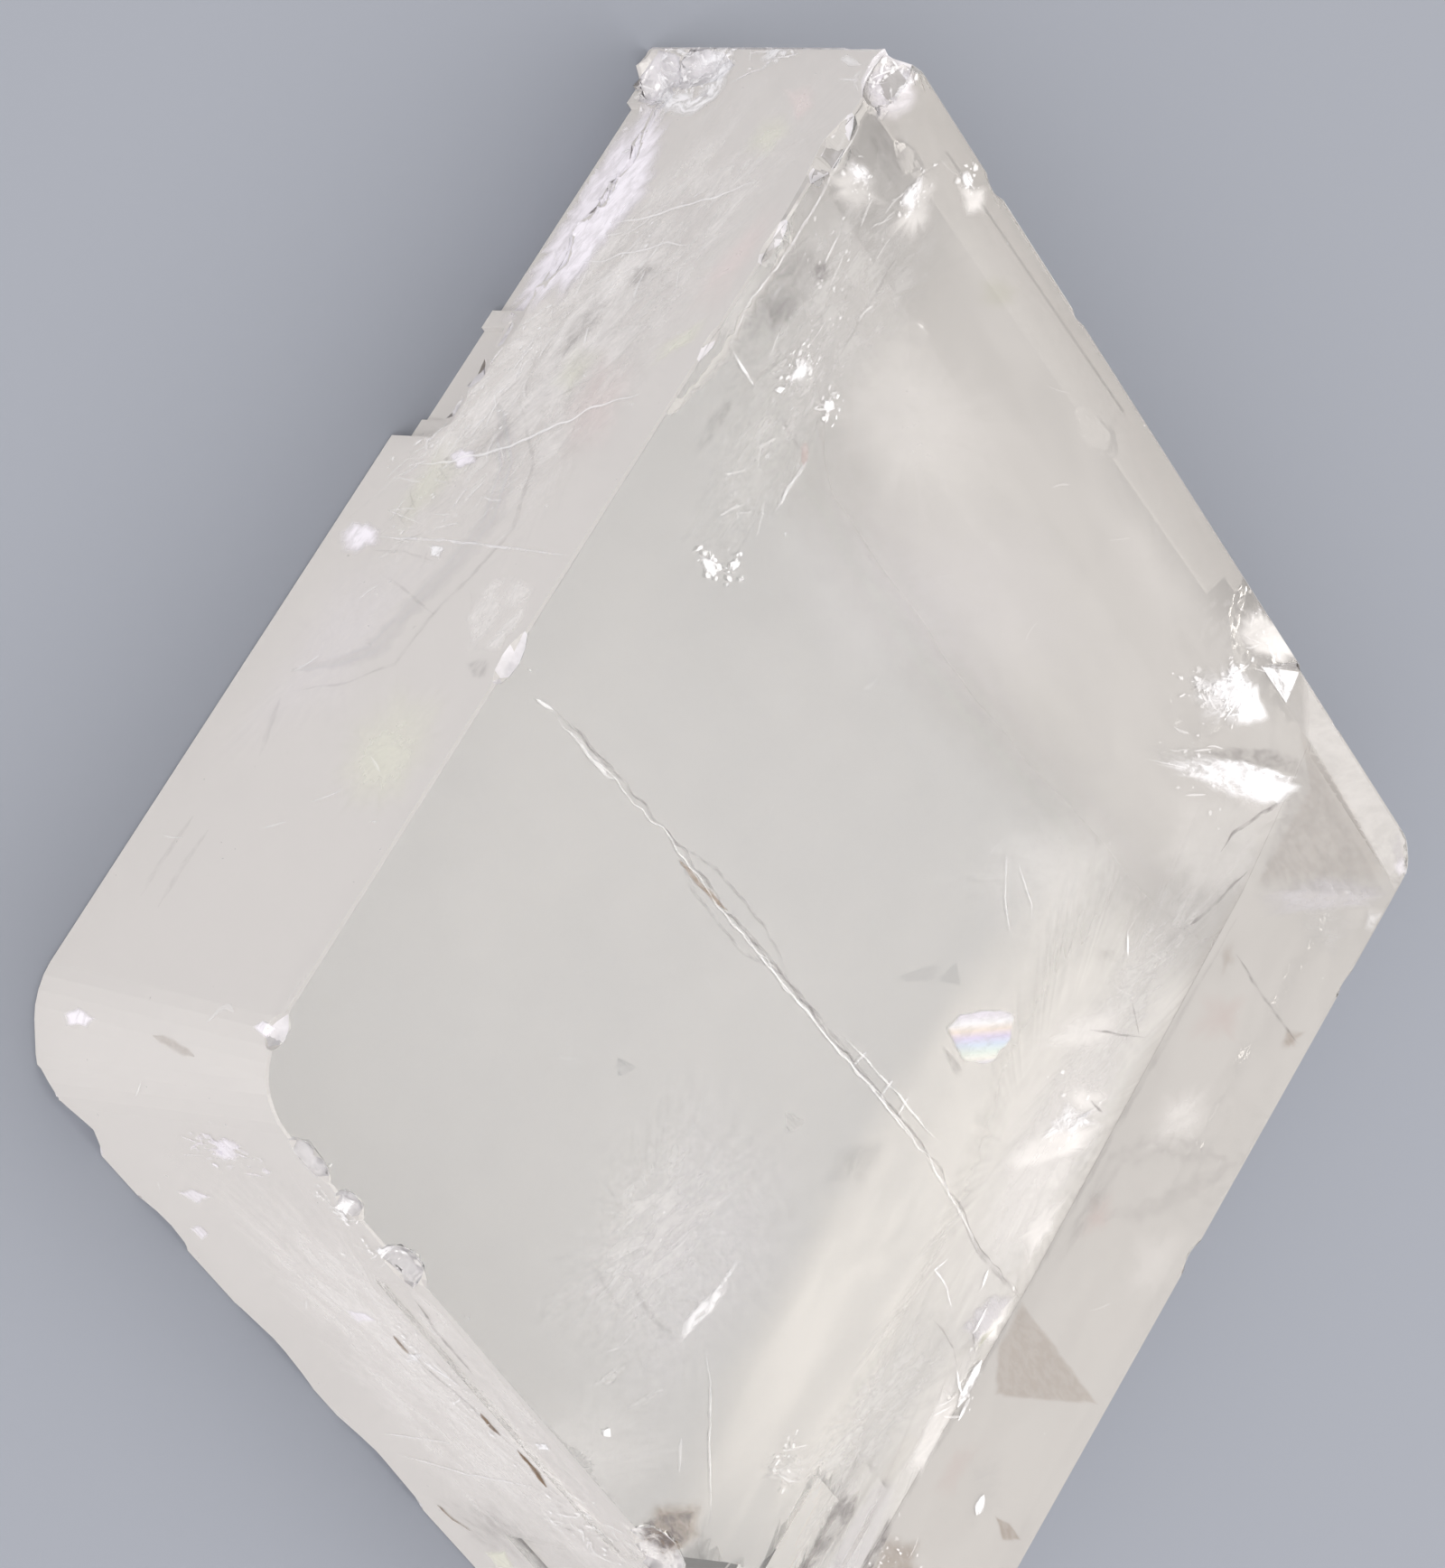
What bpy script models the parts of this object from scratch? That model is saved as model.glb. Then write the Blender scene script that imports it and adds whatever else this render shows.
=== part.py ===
"""A water-clear calcite specimen: one cleavage rhomb that lies on its broad back face.

Lengths are in metres and +Z is up. A place on the crystal is given as (u, v, w), measured along its own
edges from the right-hand corner of the upper face: u towards the top corner, v towards the bottom corner
and w down the side. All three grow towards the left.
"""
import math
import random
from collections import namedtuple

import bmesh
import bpy
from mathutils import Matrix, Vector

# Driving sizes
SHORT_EDGE = 0.0659
LONG_EDGE = 0.0694
DEPTH_EDGE = 0.0181
FACE_ANGLE = math.radians(101.92)

# Wear that runs along every edge
EDGE_WEAR = 0.00012
EDGE_ANGLE = math.radians(30)

# How far a cutter stands clear of the faces it cuts, how uneven a scar is, and the seed of its unevenness
OVERLAP = 0.003
SCAR_UNEVENNESS = 0.028
SEED = 7

# The crystal's edge directions, and its middle
HALF_ANGLE = FACE_ANGLE / 2
LEAN = math.cos(math.pi - FACE_ANGLE) / math.cos(HALF_ANGLE)
ALONG_U = Vector((-math.cos(HALF_ANGLE), math.sin(HALF_ANGLE), 0))
ALONG_V = Vector((-math.cos(HALF_ANGLE), -math.sin(HALF_ANGLE), 0))
ALONG_W = Vector((-LEAN, 0, -math.sqrt(1 - LEAN * LEAN)))
MIDDLE = (ALONG_U * SHORT_EDGE + ALONG_V * LONG_EDGE + ALONG_W * DEPTH_EDGE) / 2

# The outward directions of the faces
UP = Vector((0, 0, 1))
DOWN = -UP
OUT_UPPER_LEFT = ALONG_W.cross(ALONG_V).normalized()
OUT_LOWER_LEFT = ALONG_U.cross(ALONG_W).normalized()
OUT_UPPER_RIGHT = -OUT_LOWER_LEFT
OUT_LOWER_RIGHT = -OUT_UPPER_LEFT

# A blunted corner: how far its flat reaches along the edges at the upper and at the lower face, and how
# widely the flat's own long edges are rounded
Blunting = namedtuple("Blunting", "u v reach_top reach_low rounding segments")
BLUNTINGS = (
    Blunting(SHORT_EDGE, LONG_EDGE, 0.0023, 0.0035, 0.0017, 4),
    Blunting(0, 0, 0.0012, 0.0010, 0.0005, 2),
    Blunting(SHORT_EDGE, 0, 0.0008, 0.0003, 0, 0),
    Blunting(0, LONG_EDGE, 0.0034, 0.0062, 0.0011, 2),
)

# A ledge: the first and the last place of the block that has cleaved away
BEYOND_U = SHORT_EDGE + OVERLAP
BEYOND_V = LONG_EDGE + OVERLAP
BEYOND_W = DEPTH_EDGE + OVERLAP
Ledge = namedtuple("Ledge", "name start end")
LEDGES = (
    # the long break along the lower edge of the upper-left side, in steps that deepen towards the top
    Ledge("break_step_long", (0.0647, 0.0022, 0.0150), (BEYOND_U, 0.0284, BEYOND_W)),
    Ledge("break_step_low", (0.0644, 0.0196, 0.0164), (BEYOND_U, 0.0262, BEYOND_W)),
    Ledge("break_step_high", (0.0642, 0.0032, 0.0158), (BEYOND_U, 0.0184, BEYOND_W)),
    # thin bands on the lower-left side
    Ledge("lower_left_band", (0.0245, 0.0691, -OVERLAP), (0.0492, BEYOND_V, 0.0033)),
    Ledge("lower_left_strip", (0.0120, 0.0688, 0.0072), (0.0238, BEYOND_V, 0.0121)),
    # a sliver gone from the upper edge of the upper-right side
    Ledge("upper_right_sliver", (0.0452, -OVERLAP, -OVERLAP), (0.0554, 0.00014, 0.0011)),
    # steps along the lower edge of the lower-right side, close together towards the bottom corner
    Ledge("stripe_outer", (-OVERLAP, 0.0452, 0.0164), (0.0013, BEYOND_V, BEYOND_W)),
    Ledge("stripe_middle", (-OVERLAP, 0.0488, 0.0170), (0.0036, BEYOND_V, BEYOND_W)),
    Ledge("stripe_inner", (-OVERLAP, 0.0515, 0.0175), (0.0061, BEYOND_V, BEYOND_W)),
    Ledge("lower_right_shelf", (-OVERLAP, 0.0560, 0.0040), (0.0006, BEYOND_V, 0.0110)),
    # the broken bottom corner
    Ledge("bottom_step_high", (-OVERLAP, 0.0628, -OVERLAP), (0.0086, BEYOND_V, 0.0022)),
    Ledge("bottom_step_low", (-OVERLAP, 0.0612, 0.0119), (0.0118, BEYOND_V, BEYOND_W)),
)

# A chip on an edge: how far along the edge its middle is, and its length, width and depth
Chip = namedtuple("Chip", "name run length width bite")
UPPER_LEFT_TOP_CHIPS = (
    Chip("high_flake", 0.0078, 0.0056, 0.0034, 0.0007),
    Chip("high_nick", 0.0144, 0.0040, 0.0022, 0.0004),
    Chip("middle_nick", 0.0213, 0.0034, 0.0020, 0.0003),
    Chip("scallop", 0.0424, 0.0040, 0.0030, 0.00055),
    Chip("left_nick", 0.0662, 0.0026, 0.0022, 0.0007),
)
LOWER_LEFT_TOP_CHIPS = (
    Chip("low_nick_a", 0.0598, 0.0042, 0.0026, 0.0006),
    Chip("low_nick_b", 0.0560, 0.0026, 0.0022, 0.0006),
    Chip("low_nick_c", 0.0508, 0.0044, 0.0030, 0.0009),
    Chip("low_bite", 0.0252, 0.0058, 0.0040, 0.0013),
)
LOWER_LEFT_LOW_CHIPS = (
    Chip("left_wear_a", 0.0630, 0.0074, 0.0050, 0.0009),
    Chip("left_wear_b", 0.0590, 0.0062, 0.0048, 0.0010),
    Chip("left_wear_c", 0.0507, 0.0058, 0.0034, 0.0006),
    Chip("left_wear_d", 0.0398, 0.0090, 0.0030, 0.0005),
    Chip("left_wear_e", 0.0286, 0.0110, 0.0032, 0.0006),
)
UPPER_RIGHT_TOP_CHIPS = (
    Chip("right_notch_a", 0.0551, 0.0024, 0.0018, 0.0004),
    Chip("right_notch_b", 0.0452, 0.0020, 0.0016, 0.0003),
    Chip("right_notch_c", 0.0113, 0.0022, 0.0018, 0.0004),
)
UPPER_RIGHT_LOW_CHIPS = (
    Chip("hidden_nick_a", 0.0568, 0.0050, 0.0030, 0.0007),
    Chip("hidden_nick_b", 0.0436, 0.0036, 0.0024, 0.0005),
    Chip("hidden_nick_c", 0.0128, 0.0044, 0.0028, 0.0007),
)
LOWER_RIGHT_TOP_CHIPS = (
    Chip("low_right_nick", 0.0101, 0.0022, 0.0016, 0.0003),
    Chip("low_right_notch", 0.0302, 0.0026, 0.0018, 0.0004),
)
LOWER_RIGHT_LOW_CHIPS = (
    Chip("seen_nick_a", 0.0236, 0.0040, 0.0024, 0.0006),
    Chip("seen_nick_b", 0.0331, 0.0024, 0.0020, 0.0005),
    Chip("seen_groove", 0.0395, 0.0060, 0.0022, 0.0007),
)

# The row of scars along the long break, each a little smaller than the one before
BREAK_SCARS = 10
BREAK_FIRST = 0.0030
BREAK_PITCH = 0.0025
BREAK_HEIGHT = 0.0158
BREAK_FADE = 0.035
BREAK_SET_BACK = 0.0002

# The shallow facet beside the right corner: its width, the drop at its outer edge, and along the edge the
# place of the small wall that ends it, at the wall's foot and at its two upper ends
FACET_IN = 0.00262
FACET_DROP = 0.00034
WALL_FOOT = 0.0162
WALL_TOP_OUT = 0.0169
WALL_TOP_IN = 0.0196
FACET_BLOCK_END = (0.026, 0.008, OVERLAP)


def at(u, v, w):
    """Returns the point that lies u, v and w along the crystal's edges."""
    return ALONG_U * u + ALONG_V * v + ALONG_W * w - MIDDLE


def clear_scene():
    """Removes every object that the scene starts with."""
    for thing in list(bpy.data.objects):
        bpy.data.objects.remove(thing, do_unlink=True)


def new_collection(name):
    """Adds a collection to the scene."""
    collection = bpy.data.collections.new(name)
    bpy.context.scene.collection.children.link(collection)
    return collection


def calcite():
    """The clear, faintly warm mineral."""
    material = bpy.data.materials.new("calcite")
    material.use_nodes = True
    shader = material.node_tree.nodes["Principled BSDF"]
    shader.inputs["Base Color"].default_value = (0.93, 0.91, 0.88, 1)
    shader.inputs["Roughness"].default_value = 0.04
    shader.inputs["Metallic"].default_value = 0
    shader.inputs["IOR"].default_value = 1.658
    shader.inputs["Transmission Weight"].default_value = 1
    return material


def to_object(form, name, collection):
    """Turns a bmesh into an object, with its faces pointing out."""
    bmesh.ops.recalc_face_normals(form, faces=form.faces)
    mesh = bpy.data.meshes.new(name)
    form.to_mesh(mesh)
    form.free()
    thing = bpy.data.objects.new(name, mesh)
    collection.objects.link(thing)
    return thing


def sheared_block(start, end):
    """A block between two places, with its edges along the crystal's own three directions."""
    size = [end[axis] - start[axis] for axis in range(3)]
    centre = at(*[(start[axis] + end[axis]) / 2 for axis in range(3)])
    shear = Matrix((ALONG_U * size[0], ALONG_V * size[1], ALONG_W * size[2])).transposed().to_4x4()
    form = bmesh.new()
    bmesh.ops.create_cube(form, size=1)
    bmesh.ops.transform(form, matrix=Matrix.Translation(centre) @ shear, verts=form.verts)
    bmesh.ops.recalc_face_normals(form, faces=form.faces)
    return form


def plane_through(first, second, third, beyond):
    """Returns the unit normal of the plane through three points, on the side of a point beyond it."""
    normal = (second - first).cross(third - first).normalized()
    if normal.dot(beyond - first) < 0:
        normal.negate()
    return normal


def slice_off(form, point, outward):
    """Cuts away what lies beyond a plane and closes the cut with one flat face."""
    everything = form.verts[:] + form.edges[:] + form.faces[:]
    cut = bmesh.ops.bisect_plane(form, geom=everything, plane_co=point, plane_no=outward, clear_outer=True)
    rim = [item for item in cut["geom_cut"] if isinstance(item, bmesh.types.BMEdge)]
    bmesh.ops.contextual_create(form, geom=rim)


def blunt_corner(form, blunting):
    """Cuts a depth edge to a flat, square to the corner, and rounds the flat's two long edges."""
    u, v = blunting.u, blunting.v
    into_u = -1 if u else 1
    into_v = -1 if v else 1
    on_u_edge = at(u + into_u * blunting.reach_top, v, 0)
    on_v_edge = at(u, v + into_v * blunting.reach_top, 0)
    on_low_edge = at(u + into_u * blunting.reach_low, v, DEPTH_EDGE)
    outward = plane_through(on_u_edge, on_v_edge, on_low_edge, at(u, v, 0))
    slice_off(form, on_u_edge, outward)
    if not blunting.segments:
        return
    near = 1e-6
    steep = 0.7
    long_edges = []
    for edge in form.edges:
        on_flat = all(abs((vert.co - on_u_edge).dot(outward)) < near for vert in edge.verts)
        direction = (edge.verts[1].co - edge.verts[0].co).normalized()
        if on_flat and abs(direction.z) > steep:
            long_edges.append(edge)
    bmesh.ops.bevel(form, geom=long_edges, offset=blunting.rounding, segments=blunting.segments, profile=0.5,
                    affect="EDGES", offset_type="OFFSET", clamp_overlap=True)


def make_rhomb(collection):
    """The whole cleavage rhomb, with its corners blunted and its edges faintly worn."""
    form = sheared_block((0, 0, 0), (SHORT_EDGE, LONG_EDGE, DEPTH_EDGE))
    for blunting in BLUNTINGS:
        blunt_corner(form, blunting)
    crystal = to_object(form, "calcite_crystal", collection)
    wear = crystal.modifiers.new("worn edges", "BEVEL")
    wear.width = EDGE_WEAR
    wear.segments = 1
    wear.limit_method = "ANGLE"
    wear.angle_limit = EDGE_ANGLE
    return crystal


def cut_with(crystal, cutter):
    """Hides a cutter and takes its shape out of the crystal."""
    cutter.hide_render = True
    cutter.display_type = "WIRE"
    cutter.parent = crystal.parent
    cut = crystal.modifiers.new(cutter.name, "BOOLEAN")
    cut.operation = "DIFFERENCE"
    cut.solver = "EXACT"
    cut.object = cutter


def scar(crystal, cutters, name, place, along, outward, length, width, bite, detail=2):
    """Flakes off a shell-shaped chip: an uneven ellipsoid that dips below an edge or a face.

    place is a point on the surface, along is the chip's long direction, outward leads out of the crystal
    and bite is how deep the scar goes.
    """
    dice = random.Random(f"{SEED} {name}")
    long_axis = along.normalized()
    out_axis = (outward - long_axis * outward.dot(long_axis)).normalized()
    side_axis = long_axis.cross(out_axis)
    radius = width * width / (8 * bite) + bite / 2
    stretch = length / width
    turned = Matrix.Rotation(dice.uniform(0, math.tau), 3, "X")
    rolled = Matrix.Rotation(dice.uniform(0, math.tau), 3, "Z")
    form = bmesh.new()
    bmesh.ops.create_icosphere(form, subdivisions=detail, radius=1)
    for vert in form.verts:
        unevenness = dice.uniform(1 - SCAR_UNEVENNESS, 1 + SCAR_UNEVENNESS)
        vert.co = (turned @ rolled @ vert.co) * unevenness
    frame = Matrix((long_axis * radius * stretch, out_axis * radius, side_axis * radius)).transposed().to_4x4()
    centre = place + out_axis * (radius - bite)
    bmesh.ops.transform(form, matrix=Matrix.Translation(centre) @ frame, verts=form.verts)
    cut_with(crystal, to_object(form, name, cutters))


def cut_ledges(crystal, cutters):
    """Cleaves the ledges away, which leaves steps with flat, parallel faces."""
    for ledge in LEDGES:
        cut_with(crystal, to_object(sheared_block(ledge.start, ledge.end), ledge.name, cutters))


def cut_right_facet(crystal, cutters):
    """Slopes the upper face down beside the right corner, and ends the slope in a small steep wall."""
    form = sheared_block((-OVERLAP, -OVERLAP, -OVERLAP), FACET_BLOCK_END)
    inner_start = at(0, FACET_IN, 0)
    inner_end = at(SHORT_EDGE, FACET_IN, 0)
    outer_start = at(0, 0, FACET_DROP)
    slice_off(form, inner_start, plane_through(inner_start, inner_end, outer_start, at(0, 0, DEPTH_EDGE)))
    wall_top = at(WALL_TOP_IN, FACET_IN, 0)
    wall_edge = at(WALL_TOP_OUT, 0, 0)
    wall_foot = at(WALL_FOOT, 0, FACET_DROP)
    slice_off(form, wall_top, plane_through(wall_top, wall_edge, wall_foot, at(SHORT_EDGE, 0, 0)))
    cut_with(crystal, to_object(form, "right_facet", cutters))


def cut_rough_break(crystal, cutters):
    """The row of shell scars that eats into the lower edge of the upper-left side, from the top corner down."""
    dice = random.Random(SEED)
    outward = OUT_UPPER_LEFT + DOWN * 0.3
    for number in range(BREAK_SCARS):
        fade = 1 - BREAK_FADE * number
        height = BREAK_HEIGHT + dice.uniform(-0.0006, 0.0006)
        place = at(SHORT_EDGE - BREAK_SET_BACK, BREAK_FIRST + BREAK_PITCH * number, height)
        length = dice.uniform(0.0044, 0.0066)
        width = dice.uniform(0.0040, 0.0054) * fade
        bite = dice.uniform(0.0012, 0.0017) * fade
        tilt = ALONG_V + ALONG_W * dice.uniform(-0.35, 0.35)
        scar(crystal, cutters, f"break_scar_{number + 1}", place, tilt, outward, length, width, bite)


def cut_edge_chips(crystal, cutters):
    """Shell-shaped chips along the edges of the upper and the lower face."""
    edges = (
        (UPPER_LEFT_TOP_CHIPS, at(SHORT_EDGE, 0, 0), ALONG_V, OUT_UPPER_LEFT + UP),
        (LOWER_LEFT_TOP_CHIPS, at(0, LONG_EDGE, 0), ALONG_U, OUT_LOWER_LEFT + UP),
        (UPPER_RIGHT_TOP_CHIPS, at(0, 0, 0), ALONG_U, OUT_UPPER_RIGHT + UP),
        (LOWER_RIGHT_TOP_CHIPS, at(0, 0, 0), ALONG_V, OUT_LOWER_RIGHT + UP),
        (LOWER_LEFT_LOW_CHIPS, at(0, LONG_EDGE, DEPTH_EDGE), ALONG_U, OUT_LOWER_LEFT * 2 + DOWN),
        (UPPER_RIGHT_LOW_CHIPS, at(0, 0, DEPTH_EDGE), ALONG_U, OUT_UPPER_RIGHT + DOWN),
        (LOWER_RIGHT_LOW_CHIPS, at(0, 0, DEPTH_EDGE), ALONG_V, OUT_LOWER_RIGHT + DOWN),
    )
    for chips, edge_start, along, outward in edges:
        for chip in chips:
            place = edge_start + along * chip.run
            scar(crystal, cutters, chip.name, place, along, outward, chip.length, chip.width, chip.bite)


def cut_corner_chips(crystal, cutters):
    """The crumbled top corner and the large shell-shaped scars of the bottom corner."""
    break_out = OUT_UPPER_LEFT + DOWN * 0.3
    crumble_a = at(SHORT_EDGE, 0.0020, 0.0128)
    crumble_b = at(SHORT_EDGE, 0.0036, 0.0150)
    crumble_c = at(SHORT_EDGE, 0.0004, DEPTH_EDGE)
    scar(crystal, cutters, "crumble_a", crumble_a, ALONG_W, OUT_UPPER_LEFT, 0.0052, 0.0034, 0.0005)
    scar(crystal, cutters, "crumble_b", crumble_b, ALONG_V, OUT_UPPER_LEFT, 0.0040, 0.0030, 0.0005)
    scar(crystal, cutters, "crumble_c", crumble_c, ALONG_V, break_out, 0.0034, 0.0026, 0.0006)
    top_flake = at(0.0650, 0.0019, 0)
    top_round = at(SHORT_EDGE, 0, 0)
    round_out = OUT_UPPER_RIGHT + ALONG_U * 0.15
    scar(crystal, cutters, "top_flake", top_flake, ALONG_V, OUT_UPPER_LEFT + UP, 0.0045, 0.0032, 0.0008)
    scar(crystal, cutters, "top_round", top_round, ALONG_W, round_out, 0.0100, 0.0085, 0.0011)
    bottom_shell = at(0.0030, 0.0672, 0.0060)
    bottom_flake = at(0.0100, LONG_EDGE, 0.0148)
    flake_out = OUT_LOWER_LEFT + DOWN
    scar(crystal, cutters, "bottom_shell", bottom_shell, ALONG_W, ALONG_V - ALONG_U, 0.0130, 0.0110, 0.0030, 3)
    scar(crystal, cutters, "bottom_flake", bottom_flake, ALONG_U, flake_out, 0.0090, 0.0060, 0.0016, 3)


def centre_on_floor(crystal, carrier):
    """Moves the carrier so that the finished crystal stands over the world origin, on the floor."""
    graph = bpy.context.evaluated_depsgraph_get()
    finished = crystal.evaluated_get(graph).to_mesh()
    corners = [crystal.matrix_world @ vert.co for vert in finished.vertices]
    lowest = [min(corner[axis] for corner in corners) for axis in range(3)]
    highest = [max(corner[axis] for corner in corners) for axis in range(3)]
    carrier.location = (-(lowest[0] + highest[0]) / 2, -(lowest[1] + highest[1]) / 2, -lowest[2])


def main():
    """Builds the specimen."""
    clear_scene()
    specimen = new_collection("optical_calcite")
    cutters = new_collection("cutters")
    carrier = bpy.data.objects.new("specimen_origin", None)
    specimen.objects.link(carrier)
    crystal = make_rhomb(specimen)
    crystal.parent = carrier
    crystal.data.materials.append(calcite())
    cut_ledges(crystal, cutters)
    cut_right_facet(crystal, cutters)
    cut_rough_break(crystal, cutters)
    cut_edge_chips(crystal, cutters)
    cut_corner_chips(crystal, cutters)
    centre_on_floor(crystal, carrier)


main()
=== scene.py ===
"""Dresses a clear calcite specimen: its polished, broken and chipped faces, and what shows inside it.

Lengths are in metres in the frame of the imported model, with +Z up. A place on or in the crystal is given as
(u, v, w): how far it lies along the crystal's own edges from the right-hand corner of the upper face, in
millimetres. u runs towards the top corner, v towards the bottom corner and w down the side.
"""
import logging
import math
import random
from dataclasses import dataclass
from enum import Enum, IntEnum

import bmesh
import bpy
from mathutils import Matrix, Vector, noise
from mathutils.bvhtree import BVHTree


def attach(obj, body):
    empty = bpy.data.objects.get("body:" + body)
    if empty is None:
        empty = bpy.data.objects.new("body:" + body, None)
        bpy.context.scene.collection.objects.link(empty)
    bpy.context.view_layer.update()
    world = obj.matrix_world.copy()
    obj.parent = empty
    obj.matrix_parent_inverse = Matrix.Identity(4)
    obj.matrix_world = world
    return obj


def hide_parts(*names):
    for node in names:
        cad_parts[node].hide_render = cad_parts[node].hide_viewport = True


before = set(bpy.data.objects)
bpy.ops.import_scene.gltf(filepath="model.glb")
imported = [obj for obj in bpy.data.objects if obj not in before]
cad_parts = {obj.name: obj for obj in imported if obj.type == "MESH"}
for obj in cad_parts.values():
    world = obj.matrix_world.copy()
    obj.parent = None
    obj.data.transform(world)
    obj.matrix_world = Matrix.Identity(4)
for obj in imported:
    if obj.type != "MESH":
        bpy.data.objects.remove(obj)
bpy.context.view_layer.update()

BODY = "root"
NODE = "calcite_crystal"
MM = 0.001

# What is written on the faces and corners of the meshes
KIND = "kind"
BROKEN = "broken"
BLOOM = "bloom"
FADE = "fade"
GRAIN = "grain"

log = logging.getLogger("calcite")

Colour = tuple[float, float, float]
Place = tuple[float, float]
Vert = bmesh.types.BMVert
Face = bmesh.types.BMFace
Form = bmesh.types.BMesh


class Sheet(Enum):
    """A flat side of the crystal: which of u, v and w stays put on it, and whether at its far end."""

    TOP = (2, False)
    UNDER = (2, True)
    UPPER_RIGHT = (1, False)
    LOWER_LEFT = (1, True)
    LOWER_RIGHT = (0, False)
    UPPER_LEFT = (0, True)


class FaceKind(IntEnum):
    """How a face of the crystal came about."""

    CLEAVED = 0
    SMOOTH = 1
    BROKEN = 2


def edge_directions(face_angle: float) -> tuple[Vector, Vector, Vector]:
    """Works out the directions of the crystal's three kinds of edge.

    Args:
        face_angle: The obtuse angle of the broad face, in radians.

    Returns:
        The unit directions of u, v and w.
    """
    half = face_angle / 2
    lean = math.cos(math.pi - face_angle) / math.cos(half)
    along_u = Vector((-math.cos(half), math.sin(half), 0))
    along_v = Vector((-math.cos(half), -math.sin(half), 0))
    along_w = Vector((-lean, 0, -math.sqrt(1 - lean * lean)))
    return along_u, along_v, along_w


def sight_direction(bearing: float, height: float) -> Vector:
    """Gives the direction at a compass angle from +X towards +Y and an angle above the floor, in degrees."""
    around, above = math.radians(bearing), math.radians(height)
    return Vector((math.cos(above) * math.cos(around), math.cos(above) * math.sin(around), math.sin(above)))


class Lattice:
    """The crystal's own axes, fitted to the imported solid."""

    FACE_ANGLE = math.radians(101.92)
    RIM = 0.1

    def __init__(self, solid: bpy.types.Object) -> None:
        """Finds the corner that all places are measured from.

        Args:
            solid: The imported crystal.
        """
        self.u, self.v, self.w = edge_directions(self.FACE_ANGLE)
        self.up = Vector((0, 0, 1))
        self.upper_left = self.w.cross(self.v).normalized()
        self.lower_left = self.u.cross(self.w).normalized()
        planes = Matrix((self.up, -self.upper_left, -self.lower_left))
        reach = Vector([max(row.dot(vert.co) for vert in solid.data.vertices) for row in planes])
        self.corner = planes.inverted() @ reach
        self.short = self.extent(solid, self.upper_left, self.u)
        self.long = self.extent(solid, self.lower_left, self.v)
        self.depth = self.extent(solid, -self.up, self.w)

    @staticmethod
    def extent(solid: bpy.types.Object, normal: Vector, along: Vector) -> float:
        """Measures an edge between the two faces that it joins.

        Args:
            solid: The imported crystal.
            normal: The normal of both faces.
            along: The edge's direction.

        Returns:
            The edge's length in millimetres.
        """
        reach = [normal.dot(vert.co) for vert in solid.data.vertices]
        return (max(reach) - min(reach)) / normal.dot(along) / MM

    def at(self, u: float, v: float, w: float) -> Vector:
        """Turns a place in millimetres along the edges into a point of the frame."""
        return self.corner + (self.u * u + self.v * v + self.w * w) * MM

    def on(self, sheet: Sheet, place: Place) -> Vector:
        """Turns a place on a flat side into a point of the frame.

        Args:
            sheet: The flat side.
            place: How far the point lies along the two of u, v and w that run along the side.

        Returns:
            The point.
        """
        axis, far = sheet.value
        along = list(place)
        along.insert(axis, (self.short, self.long, self.depth)[axis] if far else 0.0)
        return self.at(*along)

    def within(self, sheet: Sheet, place: Place) -> Place:
        """Moves a place that lies off a flat side to just inside its rim.

        Args:
            sheet: The flat side.
            place: The place along it.

        Returns:
            The place, moved if it had to be.
        """
        sizes = [self.short, self.long, self.depth]
        sizes.pop(sheet.value[0])
        first, second = (min(max(along, self.RIM), size - self.RIM) for along, size in zip(place, sizes))
        return first, second

    def outward(self, sheet: Sheet) -> Vector:
        """Finds the direction that a flat side faces.

        Args:
            sheet: The flat side.

        Returns:
            The unit direction.
        """
        axis, far = sheet.value
        normal = (self.upper_left, self.lower_left, -self.up)[axis]
        return normal if far else -normal

    def cleavages(self) -> tuple[Vector, Vector, Vector]:
        """Gives the normals of the three directions that the crystal cleaves along."""
        return self.up, self.upper_left, self.lower_left


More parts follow.
